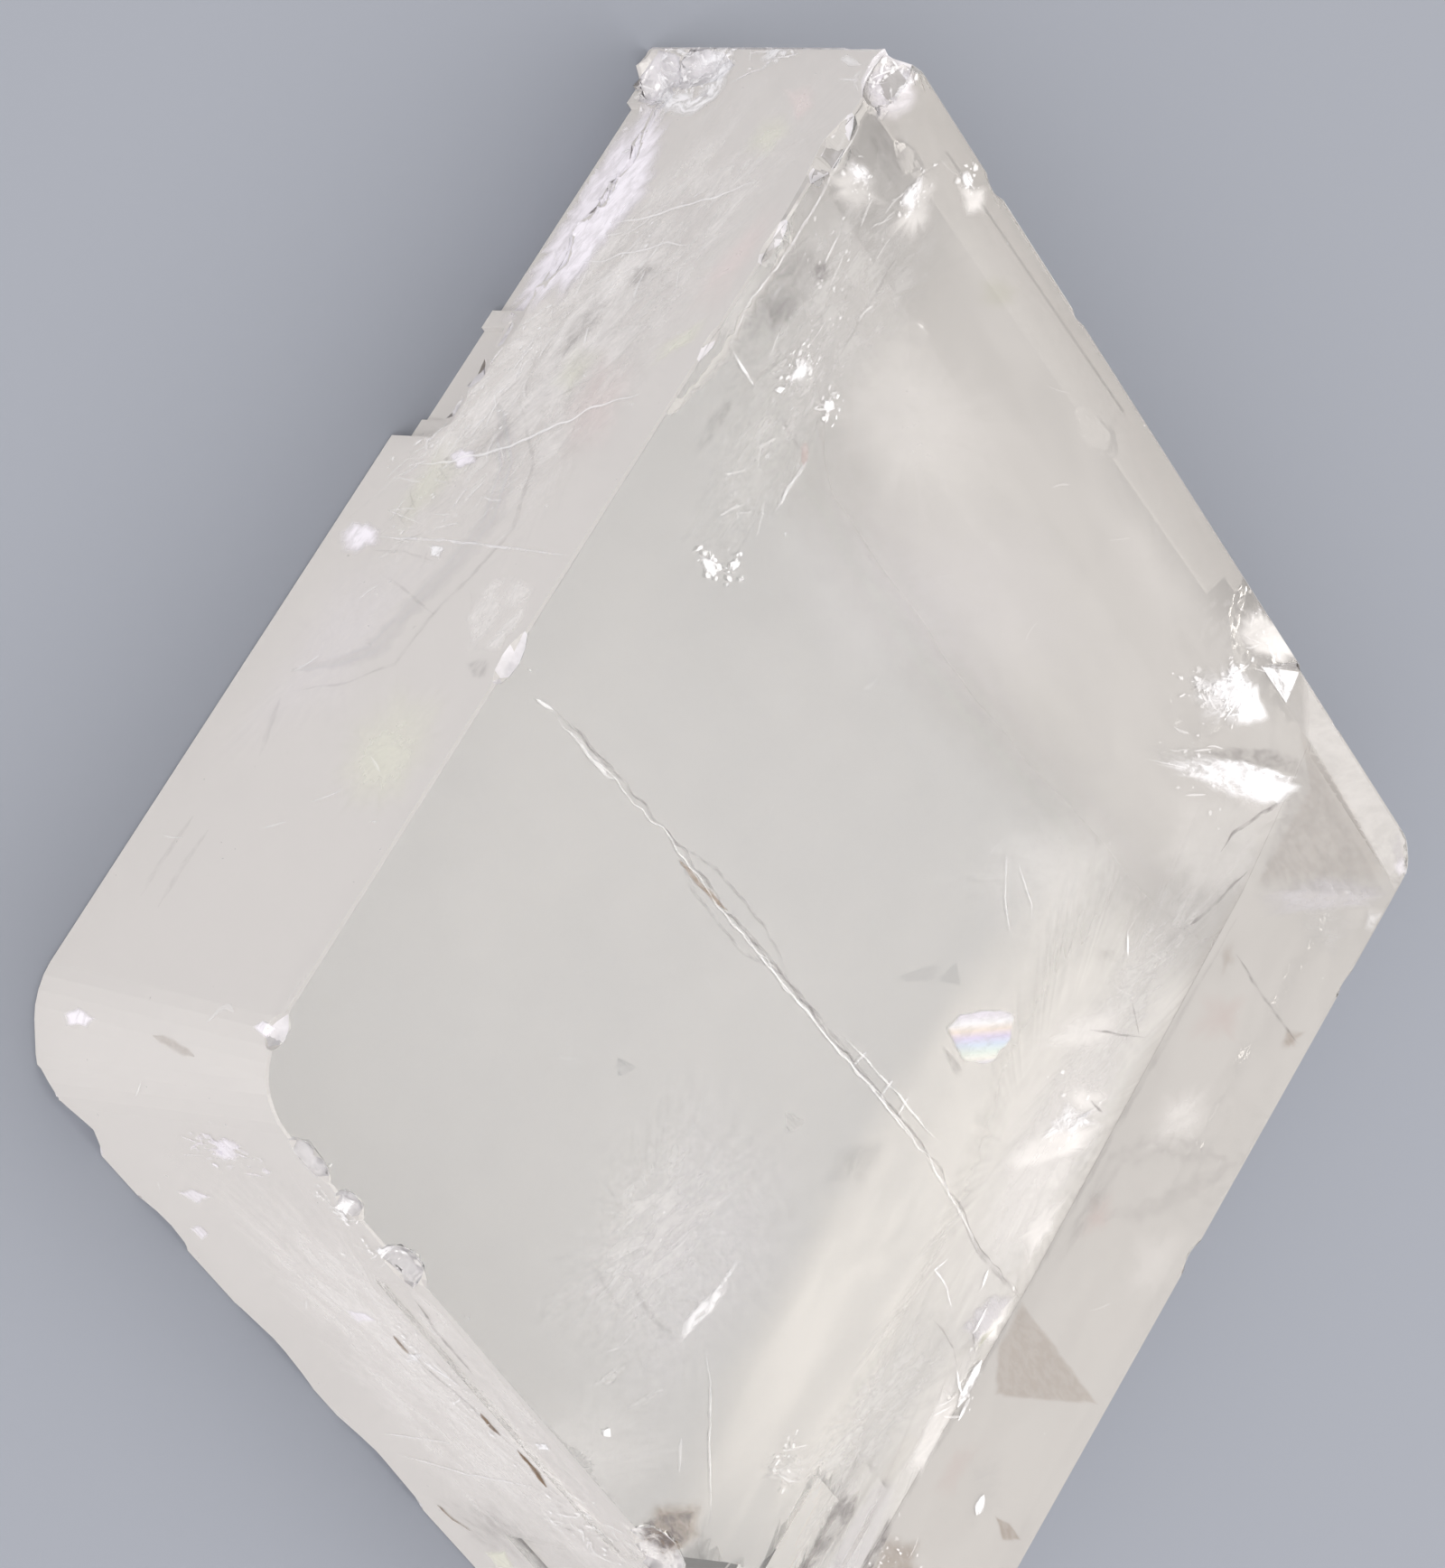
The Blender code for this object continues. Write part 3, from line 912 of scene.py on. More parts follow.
# The long crack across the top, with a painted glint along it, and the small scars beside its lower end
CRACK_LINE: Marks = {
    Finish.VEIL: (
        Patch(
            ((33.8, 45.9), (31.9, 45.2), (32.2, 46.1), (32.8, 46.7)), 0.7, soft=0.2, ragged=0.12, sink=0.4),
    ),
    Finish.SHADOW: (
        Stroke(
            0.16, ((62.8, 42.3), (60.4, 42.1), (56.0, 41.6), (50.6, 41.2), (44.6, 41.3), (39.9, 41.0),
            (34.6, 40.9), (29.2, 40.6), (23.1, 40.4), (18.4, 40.9), (15.8, 41.5), (11.1, 41.2)), 0.8,
            wander=0.3),
        Stroke(0.3, ((60.2, 41.9), (57.9, 41.8), (56.2, 41.6)), 0.5),
        Stroke(0.22, ((44.4, 41.1), (34.6, 40.7), (29.0, 40.5), (23.1, 40.4)), 0.45),
        Stroke(0.45, ((18.0, 41.3), (15.8, 41.7), (13.5, 41.6), (11.1, 41.4)), 0.4),
        Stroke(0.2, ((50.6, 41.3), (46.8, 40.2), (41.9, 40.0), (38.5, 40.7)), 0.45),
        Stroke(0.2, ((50.6, 41.3), (47.5, 42.2), (42.5, 42.1), (38.5, 40.7)), 0.45),
        Stroke(0.16, ((12.9, 45.3), (11.9, 45.9)), 0.6),
        Stroke(0.14, ((16.2, 46.7), (13.6, 46.8), (12.6, 47.4)), 0.5),
    ),
    Finish.STAIN: (
        Stroke(0.36, ((49.5, 41.7), (47.4, 41.6), (44.8, 41.3)), 0.7),
    ),
    Finish.SCAR: (
        Stroke(0.16, ((44.6, 41.5), (39.9, 41.3), (34.6, 41.1), (29.2, 40.8), (23.1, 40.7)), 0.5),
        Stroke(0.22, ((63.2, 42.7), (61.9, 42.3)), 0.5),
        Stroke(0.3, ((60.4, 42.3), (58.1, 42.2), (56.5, 42.1), (56.0, 41.8)), 0.4),
        Stroke(0.17, ((32.9, 40.2), (27.4, 39.7), (23.2, 39.5)), 0.45),
        Stroke(0.15, ((28.1, 39.4), (28.3, 40.7)), 0.6),
        Stroke(0.15, ((26.4, 39.2), (26.5, 40.6)), 0.6),
        Stroke(0.15, ((30.9, 39.6), (31.3, 41.0)), 0.5),
        Stroke(0.16, ((23.1, 40.7), (18.4, 41.1), (15.8, 41.7)), 0.4),
        Stroke(0.18, ((17.6, 43.6), (18.0, 44.7), (16.5, 44.8), (15.2, 45.4)), 0.7),
        Stroke(0.22, ((14.3, 41.9), (14.0, 43.1)), 0.9),
        Stroke(0.22, ((12.9, 43.5), (12.9, 45.3)), 0.9),
        Stroke(0.62, ((11.2, 45.9), (11.1, 47.7), (11.0, 49.0))),
        Stroke(0.36, ((10.5, 48.0), (10.4, 49.5)), 0.9),
        Stroke(0.22, ((12.5, 47.6), (11.2, 48.3)), 0.8),
    ),
    Finish.GLINT: (
        Stroke(
            0.1, ((62.8, 42.5), (60.4, 42.3), (56.0, 41.8), (50.6, 41.4), (44.6, 41.5), (39.9, 41.3),
            (34.6, 41.1), (29.2, 40.8), (23.1, 40.7), (18.4, 41.1), (15.8, 41.7), (14.1, 41.6)), 0.36,
            wander=0.3),
    ),
}

# Bright scars and painted glints, thin cracks and facets by the right corner, and the rainbow flaw below them
# in painted thin-film colours
RIGHT_CORNER: Marks = {
    Finish.VEIL: (
        Patch(
            ((24.6, 13.0), (22.9, 11.0), (18.6, 8.1), (16.5, 7.6), (17.4, 9.6), (21.8, 12.1)), 0.55,
            soft=0.7, grain=35),
        Patch(
            ((23.9, 7.8), (23.8, 6.4), (22.4, 5.2), (21.1, 6.4), (22.5, 8.1)), 0.5, soft=0.6, ragged=0.3,
            grain=60),
        Patch(((19.6, 2.5), (16.9, 0.0), (16.4, 0.1)), 0.8, soft=0.15, ragged=0.0),
        Patch(((19.5, 2.5), (16.2, 0.1), (2.1, -0.9), (0.0, 0.4), (0.2, 2.7)), 0.25, soft=0.05, ragged=0.0),
    ),
    Finish.BLUSH: (
        Patch(
            ((18.6, 27.9), (16.8, 25.5), (15.6, 24.4), (15.2, 25.6), (17.7, 27.7)), 0.9, ragged=0.12,
            sink=0.3),
    ),
    Finish.MOSS: (
        Patch(
            ((15.6, 25.5), (14.8, 23.6), (13.2, 24.3), (15.2, 25.6)), 0.9, soft=0.3, ragged=0.12, sink=0.3),
    ),
    Finish.SHADOW: (
        Patch(
            ((20.4, 7.6), (14.6, 3.2), (12.4, 4.4), (15.0, 5.9), (19.0, 8.2)), 0.22, ragged=0.15, grain=35,
            sink=0.5),
        Stroke(0.3, ((12.4, 5.0), (12.7, 7.0), (14.1, 9.6), (14.7, 10.9), (14.8, 12.3)), 0.7),
        Stroke(0.26, ((12.1, 11.5), (13.0, 14.5), (13.5, 16.0), (14.3, 17.6)), 0.6),
        Patch(((26.6, 35.5), (25.3, 35.2), (23.3, 35.3), (24.0, 36.1)), 0.4, soft=0.6, ragged=0.12),
        Stroke(0.16, ((15.0, 23.4), (13.1, 24.4)), 0.6),
        Stroke(0.16, ((16.8, 26.9), (12.6, 24.1)), 0.6),
        Patch(((20.2, 23.8), (19.0, 22.5), (17.7, 22.2), (18.3, 24.0)), 0.3, soft=0.8, ragged=0.3),
        Stroke(0.2, ((13.9, 29.7), (12.6, 29.4)), 0.6),
        Patch(((13.2, 3.0), (0.5, 3.9), (10.8, 11.9)), 0.14, soft=0.06, ragged=0.0),
        Patch(
            ((20.9, 10.1), (19.0, 8.0), (14.8, 4.6), (12.2, 3.4), (12.0, 4.4), (16.0, 7.0)), 0.45,
            ragged=0.1, grain=38),
        Stroke(0.22, ((9.5, 15.5), (5.4, 15.6), (1.1, 15.4)), 0.6),
        Stroke(0.5, ((10.9, 14.0), (11.0, 26.0), (10.9, 38.0), (10.8, 50.0), (11.0, 60.0)), 0.2),
    ),
    Finish.STAIN: (
        Patch(((2.6, 16.8), (2.8, 15.4), (1.2, 14.6), (1.0, 16.0)), 0.35, soft=0.8, ragged=0.3),
        Patch(((11.0, 16.4), (10.2, 15.0), (9.0, 16.0), (9.6, 17.4)), 0.18, soft=0.9, ragged=0.3),
    ),
    Finish.GLEAM: (
        Patch(((3.2, 1.4), (2.2, 0.2), (0.6, 1.2), (0.4, 2.4)), 0.4, soft=0.7, ragged=0.12),
        Patch(
            ((10.6, 12.0), (6.4, 6.8), (0.4, 3.0), (0.4, 4.6), (4.4, 8.2), (9.6, 13.0)), 0.5, ragged=0.1,
            grain=42),
    ),
    Finish.FRINGE: (
        Patch(
            ((26.5, 34.5), (26.3, 33.4), (25.0, 32.0), (23.7, 30.9), (22.3, 30.3), (22.0, 31.1),
            (21.9, 33.2), (23.3, 34.5), (24.5, 35.0), (25.8, 34.9)), soft=0.12, ragged=0.08, grain=42),
    ),
    Finish.SCAR: (
        Patch(
            ((19.4, 9.2), (17.0, 7.4), (14.9, 6.1), (12.3, 4.6), (12.5, 6.3), (13.7, 7.6), (16.4, 8.9)),
            soft=0.3, ragged=0.1, grain=35),
        Patch(
            ((21.7, 6.4), (22.1, 5.6), (21.5, 4.3), (20.2, 3.7), (18.7, 3.8), (18.1, 4.3), (19.7, 5.7)),
            0.9, soft=0.25, ragged=0.25, grain=60),
        Patch(((19.6, 2.6), (16.3, 0.2), (16.2, 2.5)), soft=0.06, ragged=0.0),
        Stroke(0.18, ((18.2, 20.9), (17.1, 21.9)), 0.8),
        Stroke(0.14, ((29.5, 24.5), (27.8, 26.4), (26.0, 27.5)), 0.35),
        Stroke(0.14, ((28.0, 24.4), (25.8, 25.2), (24.9, 26.1)), 0.35),
        Patch(
            ((16.8, 34.7), (16.0, 33.2), (15.5, 31.0), (13.4, 30.2), (12.9, 29.0), (12.5, 30.2),
            (14.1, 32.4)), 0.55, ragged=0.3, grain=60),
        Patch(
            ((24.0, 13.2), (19.6, 9.1), (15.0, 6.3), (11.3, 4.6), (12.2, 7.3), (17.3, 10.2)), 0.65,
            ragged=0.15, grain=38),
        Patch(
            ((24.6, 7.9), (22.0, 4.0), (18.9, 2.9), (16.0, 4.2), (18.9, 6.9), (22.0, 8.6)), 0.6, soft=0.8,
            ragged=0.25, grain=42),
        Patch(((1.8, 5.6), (0.2, 4.4), (0.1, 6.4), (1.2, 7.0)), 0.35, soft=0.9, ragged=0.1, grain=42),
    ),
    Finish.GLINT: (
        Patch(((17.0, 7.7), (11.5, 4.6), (12.4, 7.0), (14.4, 8.4)), 0.85, ragged=0.15, grain=38),
        Patch(((21.0, 5.5), (19.0, 3.4), (16.5, 4.2), (18.9, 6.4)), 0.85, soft=0.4, ragged=0.15),
    ),
}

# Veils, scars and stained facets towards the bottom corner
LOW_CORNER: Marks = {
    Finish.VEIL: (
        Patch(
            ((22.1, 60.2), (19.1, 58.3), (18.4, 59.0), (19.1, 60.4), (21.6, 61.6)), 0.7, soft=0.6,
            ragged=0.3, grain=20),
        Patch(
            ((41.9, 65.2), (41.8, 64.1), (41.2, 62.8), (39.7, 60.9), (39.2, 62.0), (40.1, 64.0),
            (41.0, 65.4)), 0.35, soft=0.8, ragged=0.25, grain=30),
        Patch(
            ((37.7, 59.6), (38.4, 57.9), (38.2, 56.2), (37.3, 54.6), (35.7, 52.7), (35.2, 51.6),
            (34.6, 53.3), (34.7, 55.8), (35.6, 58.6)), 0.9, soft=0.8, ragged=0.25, grain=55),
        Patch(((35.9, 65.9), (35.0, 63.7), (34.1, 62.8), (34.4, 64.6)), 0.5, soft=0.7, grain=60),
        Patch(((32.9, 65.1), (32.2, 63.5), (31.1, 62.4), (31.6, 64.1)), 0.5, soft=0.7, grain=60),
    ),
    Finish.MOSS: (
        Patch(((12.2, 44.9), (11.4, 43.7), (11.9, 45.9)), 0.8, soft=0.6, ragged=0.12),
    ),
    Finish.SHADOW: (
        Patch(
            ((15.7, 58.8), (14.4, 57.1), (13.8, 58.2), (14.2, 60.8), (14.6, 63.5), (15.5, 64.5)), 0.75,
            soft=0.2, ragged=0.05, grain=70),
        Patch(
            ((11.4, 56.8), (10.7, 57.0), (10.3, 61.8), (11.4, 62.8)), 0.9, soft=0.2, ragged=0.05, grain=80),
        Stroke(0.25, ((40.3, 60.8), (38.9, 61.2), (37.3, 61.4), (36.5, 61.3)), 0.25),
        Stroke(0.45, ((36.6, 60.0), (35.1, 60.2), (33.4, 60.2), (32.6, 59.8)), 0.22),
        Patch(
            ((27.5, 68.6), (26.9, 67.5), (24.5, 65.6), (24.0, 66.7), (24.1, 68.7), (26.1, 69.0)), soft=0.3,
            ragged=0.1),
    ),
    Finish.STAIN: (
        Patch(
            ((10.8, 41.4), (5.8, 41.4), (0.8, 41.5), (5.2, 44.4), (8.9, 46.7), (10.6, 44.5)), 0.24,
            soft=0.12, ragged=0.05),
        Patch(((11.1, 57.8), (8.6, 56.2), (6.1, 58.3), (10.7, 62.1)), 0.3),
        Patch(((4.0, 51.5), (2.6, 51.0), (0.9, 51.1), (2.4, 52.2)), 0.35, soft=0.3, ragged=0.12),
        Patch(
            ((27.9, 68.8), (27.6, 67.2), (24.2, 64.8), (23.2, 66.4), (23.7, 68.7), (26.0, 69.2)), 0.5,
            ragged=0.12),
    ),
    Finish.GLEAM: (
        Patch(
            ((13.3, 42.7), (11.5, 41.6), (11.4, 42.8), (12.2, 45.6), (14.1, 45.8)), 0.7, soft=0.4,
            ragged=0.12),
        Patch(
            ((13.8, 55.7), (12.0, 54.9), (11.6, 56.6), (11.0, 61.1), (13.8, 63.4), (13.9, 57.7)), 0.35,
            soft=0.3, ragged=0.05, grain=80),
    ),
    Finish.FRINGE: (
        Patch(
            ((16.3, 38.8), (14.2, 36.5), (12.1, 34.6), (11.4, 36.1), (11.7, 38.9), (15.0, 40.9)), 0.42,
            soft=0.7, ragged=0.15, grain=100, sink=0.3),
    ),
    Finish.SCAR: (
        Stroke(0.85, ((5.6, 51.2), (5.3, 52.4))),
        Patch(
            ((31.9, 60.1), (32.5, 59.3), (32.4, 58.0), (31.7, 56.4), (31.3, 53.6), (30.8, 55.5),
            (30.9, 56.7), (31.1, 57.9), (31.7, 59.7)), 0.5, ragged=0.25, grain=80),
        Patch(((33.6, 66.9), (33.1, 66.3), (32.7, 66.7), (33.2, 67.1)), 0.9, soft=0.4, ragged=0.3),
        Stroke(0.12, ((30.2, 58.9), (28.5, 60.0), (26.2, 62.5), (23.4, 65.3)), 0.4),
    ),
}

# Chips, scratches, spots and stains on the lower-left side
LOWER_LEFT_RIM: Marks = {
    Finish.WISP: (
        Patch(
            ((49.6, 0.3), (36.0, 0.3), (22.0, 0.2), (22.0, 2.4), (37.0, 3.4), (46.9, 2.6)), 0.35,
            sheet=Sheet.LOWER_LEFT, soft=0.12, ragged=0.1, grain=3),
        Patch(
            ((44.0, 8.0), (36.0, 7.0), (33.0, 10.0), (36.0, 14.0), (42.0, 13.0)), 0.4,
            sheet=Sheet.LOWER_LEFT, soft=0.9, grain=60),
    ),
    Finish.LIME: (
        Patch(
            ((21.1, 15.7), (22.1, 13.2), (19.8, 14.0), (19.0, 16.0)), sheet=Sheet.LOWER_LEFT, ragged=0.12),
    ),
    Finish.SHADOW: (
        Stroke(0.3, ((34.0, 3.8), (32.7, 3.8), (30.9, 4.1)), sheet=Sheet.LOWER_LEFT),
        Stroke(0.3, ((47.6, 1.7), (44.8, 2.3), (40.7, 2.4)), 0.7, sheet=Sheet.LOWER_LEFT),
        Stroke(0.25, ((42.2, 6.0), (38.4, 4.6), (35.4, 4.2), (34.2, 3.8)), 0.4, sheet=Sheet.LOWER_LEFT),
        Patch(
            ((26.9, 16.0), (27.9, 11.2), (25.2, 7.8), (19.6, 12.0), (21.0, 16.8)), 0.28,
            sheet=Sheet.LOWER_LEFT, soft=0.8, grain=20),
    ),
    Finish.STAIN: (
        Stroke(0.5, ((37.4, 4.2), (36.2, 4.3), (35.4, 4.2)), sheet=Sheet.LOWER_LEFT),
        Stroke(0.55, ((34.2, 3.8), (32.9, 3.8), (30.7, 4.1)), sheet=Sheet.LOWER_LEFT),
        Stroke(0.4, ((43.8, 5.9), (42.8, 6.0), (42.2, 6.0)), 0.8, sheet=Sheet.LOWER_LEFT),
        Stroke(0.3, ((25.5, 16.0), (24.1, 15.8), (23.3, 15.0)), 0.9, sheet=Sheet.LOWER_LEFT),
    ),
    Finish.SHEEN: (
        Patch(((45.7, 8.2), (45.7, 6.4), (45.0, 6.1), (44.3, 8.2)), 0.8, sheet=Sheet.LOWER_LEFT),
        Patch(
            ((60.0, 6.9), (61.0, 4.9), (60.1, 4.5), (58.3, 6.3), (58.3, 7.8)), 0.8, sheet=Sheet.LOWER_LEFT),
        Patch(
            ((54.3, 14.1), (55.0, 12.1), (54.5, 11.1), (53.4, 13.0)), 0.7, sheet=Sheet.LOWER_LEFT,
            ragged=0.12),
        Patch(
            ((50.8, 15.8), (51.4, 14.5), (50.6, 14.2), (49.7, 15.6)), 0.7, sheet=Sheet.LOWER_LEFT,
            ragged=0.12),
    ),
    Finish.SCAR: (
        Patch(
            ((42.2, 6.3), (42.5, 4.8), (41.6, 5.5), (41.3, 6.7)), 0.8, sheet=Sheet.LOWER_LEFT, ragged=0.3),
        Stroke(0.35, ((41.7, 5.2), (40.4, 4.2), (39.9, 3.8)), 0.7, sheet=Sheet.LOWER_LEFT),
        Stroke(0.2, ((32.6, 14.7), (33.3, 9.3)), 0.4, sheet=Sheet.LOWER_LEFT),
        Stroke(0.2, ((30.6, 15.7), (30.1, 10.3), (30.5, 4.7)), 0.4, sheet=Sheet.LOWER_LEFT),
        Patch(
            ((34.9, 2.2), (35.3, 1.0), (34.5, 1.4), (34.3, 2.4)), 0.9, sheet=Sheet.LOWER_LEFT, soft=0.4,
            ragged=0.3),
        Patch(
            ((55.8, 1.2), (56.8, 0.2), (55.9, 0.1), (54.6, 1.1)), 0.9, sheet=Sheet.LOWER_LEFT, soft=0.4,
            ragged=0.3),
        Patch(
            ((52.5, 0.8), (53.0, 0.1), (52.0, 0.1), (51.4, 1.1)), 0.9, sheet=Sheet.LOWER_LEFT, soft=0.4,
            ragged=0.3),
    ),
}

# Faint rings in painted thin-film colours, scratches and spots on the upper-left side
LEFT_SIDE: Marks = {
    Finish.WISP: (
        Patch(
            ((37.7, 4.7), (37.0, 3.2), (38.0, 1.2), (40.3, 0.6), (42.2, 1.0), (42.3, 3.2), (39.7, 4.7)),
            0.55, sheet=Sheet.UPPER_LEFT, soft=0.2, ragged=0.1),
    ),
    Finish.LIME: (
        Patch(
            ((51.6, 6.8), (47.0, 8.7), (44.2, 6.7), (44.4, 2.7), (48.0, 0.4), (52.6, 0.6), (53.5, 2.9)),
            0.8, sheet=Sheet.UPPER_LEFT, soft=0.8, ragged=0.12),
    ),
    Finish.SHADOW: (
        Stroke(
            0.34, ((25.5, 10.5), (29.8, 6.7), (34.2, 5.2), (37.1, 5.9), (40.5, 7.1), (43.4, 7.4),
            (44.9, 9.9), (45.7, 13.3)), 0.2, sheet=Sheet.UPPER_LEFT),
        Stroke(0.5, ((46.1, 13.8), (48.1, 13.2), (50.0, 12.6)), 0.14, sheet=Sheet.UPPER_LEFT),
        Stroke(0.22, ((37.6, 12.6), (38.7, 9.8), (40.1, 6.9)), 0.18, sheet=Sheet.UPPER_LEFT),
        Stroke(0.22, ((36.2, 13.9), (36.2, 11.7), (36.6, 9.3)), 0.18, sheet=Sheet.UPPER_LEFT),
        Patch(
            ((43.0, 2.7), (42.5, 2.1), (42.7, 1.0), (43.8, 0.7), (44.0, 1.6)), 0.3, sheet=Sheet.UPPER_LEFT,
            ragged=0.12),
        Stroke(0.5, ((59.5, 14.6), (57.2, 14.7), (54.2, 14.5)), 0.14, sheet=Sheet.UPPER_LEFT),
        Stroke(0.5, ((60.0, 12.9), (57.3, 13.0), (54.9, 12.9)), 0.14, sheet=Sheet.UPPER_LEFT),
    ),
    Finish.STAIN: (
        Stroke(0.5, ((67.3, 8.4), (67.6, 6.8), (68.0, 5.1)), 0.25, sheet=Sheet.UPPER_LEFT),
    ),
    Finish.SHEEN: (
        Patch(
            ((29.6, 12.7), (29.0, 12.4), (29.2, 11.3), (30.0, 10.6), (30.6, 11.2), (30.4, 12.0)),
            sheet=Sheet.UPPER_LEFT, soft=0.4, ragged=0.3),
        Patch(
            ((35.8, 17.2), (34.5, 17.0), (34.1, 15.7), (34.7, 14.0), (35.9, 13.7), (36.7, 15.6)),
            sheet=Sheet.UPPER_LEFT, soft=0.6),
        Patch(
            ((66.9, 15.6), (66.4, 14.5), (66.9, 12.8), (67.4, 13.4), (67.4, 15.0)), 0.9,
            sheet=Sheet.UPPER_LEFT, ragged=0.12),
        Patch(
            ((66.1, 1.7), (65.6, 1.2), (65.8, 0.4), (66.6, 0.5)), 0.9, sheet=Sheet.UPPER_LEFT, soft=0.4,
            ragged=0.12),
    ),
    Finish.RINGS: (
        Stroke(
            1.9, ((26.0, 11.7), (29.9, 8.4), (33.8, 7.1), (36.7, 7.7), (40.0, 8.8), (42.7, 9.4),
            (43.6, 11.2), (44.4, 14.2)), 0.16, sheet=Sheet.UPPER_LEFT, wander=0.05),
    ),
    Finish.SCAR: (
        Patch(
            ((35.7, 10.2), (35.4, 9.7), (35.9, 8.9), (36.5, 8.9), (36.4, 9.6)), 0.9, sheet=Sheet.UPPER_LEFT,
            soft=0.4, ragged=0.3),
        Stroke(0.22, ((35.3, 14.2), (35.3, 8.9), (35.5, 4.3), (35.7, 0.6)), 0.5, sheet=Sheet.UPPER_LEFT),
    ),
}

# The frosted patch, scars and shadows round the top corner, and two faint patches beside them
TOP_CORNER: Marks = {
    Finish.VEIL: (
        Patch(
            ((61.1, 27.9), (62.4, 25.5), (61.7, 22.8), (59.6, 21.0), (56.7, 20.3), (56.2, 22.6),
            (57.7, 26.0)), 0.28, soft=0.8, grain=75),
    ),
    Finish.BLUSH: (
        Stroke(0.7, ((57.1, 20.0), (56.3, 20.9)), 0.9),
    ),
    Finish.MOSS: (
        Patch(
            ((52.0, 5.8), (53.1, 4.5), (51.4, 2.6), (49.8, 2.2), (49.2, 3.2), (50.6, 4.8)), 0.35, soft=0.9,
            ragged=0.12),
    ),
    Finish.SHADOW: (
        Patch(
            ((17.5, 8.1), (16.2, 8.6), (15.7, 8.1), (16.1, 6.9), (17.0, 6.6), (18.0, 6.9)), 0.4,
            sheet=Sheet.UPPER_LEFT, soft=0.7, ragged=0.3),
        Patch(
            ((65.2, 3.9), (63.6, 3.4), (61.4, 3.6), (60.7, 4.8), (60.7, 5.9), (62.3, 6.0), (64.4, 5.7)),
            0.22, soft=0.3, ragged=0.1),
        Patch(
            ((64.9, 16.3), (64.8, 14.5), (64.7, 12.8), (63.5, 12.1), (61.8, 11.6), (61.8, 13.7),
            (61.9, 16.1), (63.0, 18.1), (64.0, 20.1), (64.8, 20.4), (65.1, 18.4)), 0.26, soft=0.25,
            ragged=0.08, grain=85),
        Patch(
            ((64.8, 18.4), (64.2, 16.3), (63.1, 15.3), (62.1, 15.3), (61.9, 16.1), (62.6, 17.1)), 0.4,
            soft=0.7, grain=70),
        Patch(
            ((62.9, 13.0), (62.4, 12.3), (61.6, 12.3), (61.4, 13.0), (62.1, 13.5)), 0.65, soft=0.6,
            ragged=0.3),
        Patch(
            ((63.1, 26.1), (63.4, 24.3), (63.2, 22.4), (62.6, 21.7), (62.2, 22.5), (62.2, 24.1),
            (62.4, 25.8)), 0.35, soft=0.7, ragged=0.1, grain=80),
        Stroke(0.18, ((59.8, 20.3), (58.0, 20.5), (56.6, 20.3)), 0.4),
        Stroke(0.2, ((58.4, 8.3), (58.3, 12.3), (58.1, 15.4)), 0.3),
    ),
    Finish.SHEEN: (
        Patch(
            ((2.0, 16.6), (3.1, 14.2), (6.4, 12.0), (9.7, 10.8), (11.4, 10.4), (13.1, 10.8), (15.5, 11.1),
            (17.5, 11.3), (19.4, 12.6), (20.5, 15.5), (19.0, 17.2), (14.9, 17.7), (10.7, 17.9),
            (6.0, 18.0)), sheet=Sheet.UPPER_LEFT, soft=0.34, ragged=0.1, grain=10),
    ),
    Finish.GLEAM: (
        Patch(
            ((66.0, 3.3), (66.0, 2.4), (65.5, 1.1), (64.3, 0.6), (63.6, 0.6), (63.8, 1.6), (64.0, 2.9),
            (65.0, 3.6)), 0.9, soft=0.4),
        Patch(
            ((49.0, 32.0), (54.3, 25.5), (53.9, 17.7), (48.1, 11.1), (38.7, 7.7), (32.1, 11.0),
            (33.5, 19.4), (42.0, 27.9)), 0.1, soft=0.95, sink=0.3),
    ),
    Finish.SCAR: (
        Patch(((65.3, 1.3), (64.2, 0.8), (63.5, 0.9), (64.1, 2.8), (64.9, 2.3)), 0.8),
        Patch(
            ((64.8, 8.1), (64.5, 7.2), (63.6, 6.7), (62.4, 6.7), (62.4, 7.3), (63.6, 7.9)), 0.75, soft=0.7,
            ragged=0.3, grain=30),
        Patch(
            ((60.3, 6.3), (60.2, 4.8), (59.9, 3.3), (59.6, 4.0), (59.1, 5.1), (59.1, 6.1), (59.7, 6.5)),
            0.8, soft=0.6, ragged=0.3, grain=80),
        Patch(((57.8, 1.7), (57.3, 1.1), (56.6, 1.0), (56.3, 1.5), (56.9, 1.9)), 0.9, ragged=0.3),
        Patch(
            ((60.1, 18.7), (60.4, 18.0), (60.3, 16.9), (59.8, 16.6), (59.3, 17.3), (59.4, 18.2)), 0.8,
            soft=0.6, ragged=0.3, grain=80),
        Patch(((60.7, 19.7), (60.5, 19.3), (60.1, 19.0), (60.2, 19.5)), soft=0.3),
        Patch(((57.3, 17.8), (57.5, 17.4), (57.0, 16.9), (56.5, 17.1), (56.8, 17.7)), 0.9, ragged=0.12),
        Patch(
            ((59.0, 29.6), (58.2, 28.8), (57.4, 29.3), (57.4, 29.7), (58.2, 29.8)), 0.9, soft=0.6,
            ragged=0.12),
        Patch(((57.2, 28.3), (56.8, 27.7), (56.4, 27.8), (56.6, 28.5)), 0.8, soft=0.6, ragged=0.12),
        Stroke(0.3, ((56.3, 20.4), (56.4, 22.5), (56.3, 24.1)), 0.45),
        Stroke(0.25, ((64.4, 20.5), (62.0, 20.6)), 0.6),
        Stroke(
            0.2, ((65.2, 5.7), (65.0, 8.4), (64.8, 12.3), (64.8, 15.2), (65.2, 17.5), (64.8, 20.4)), 0.4),
    ),
}

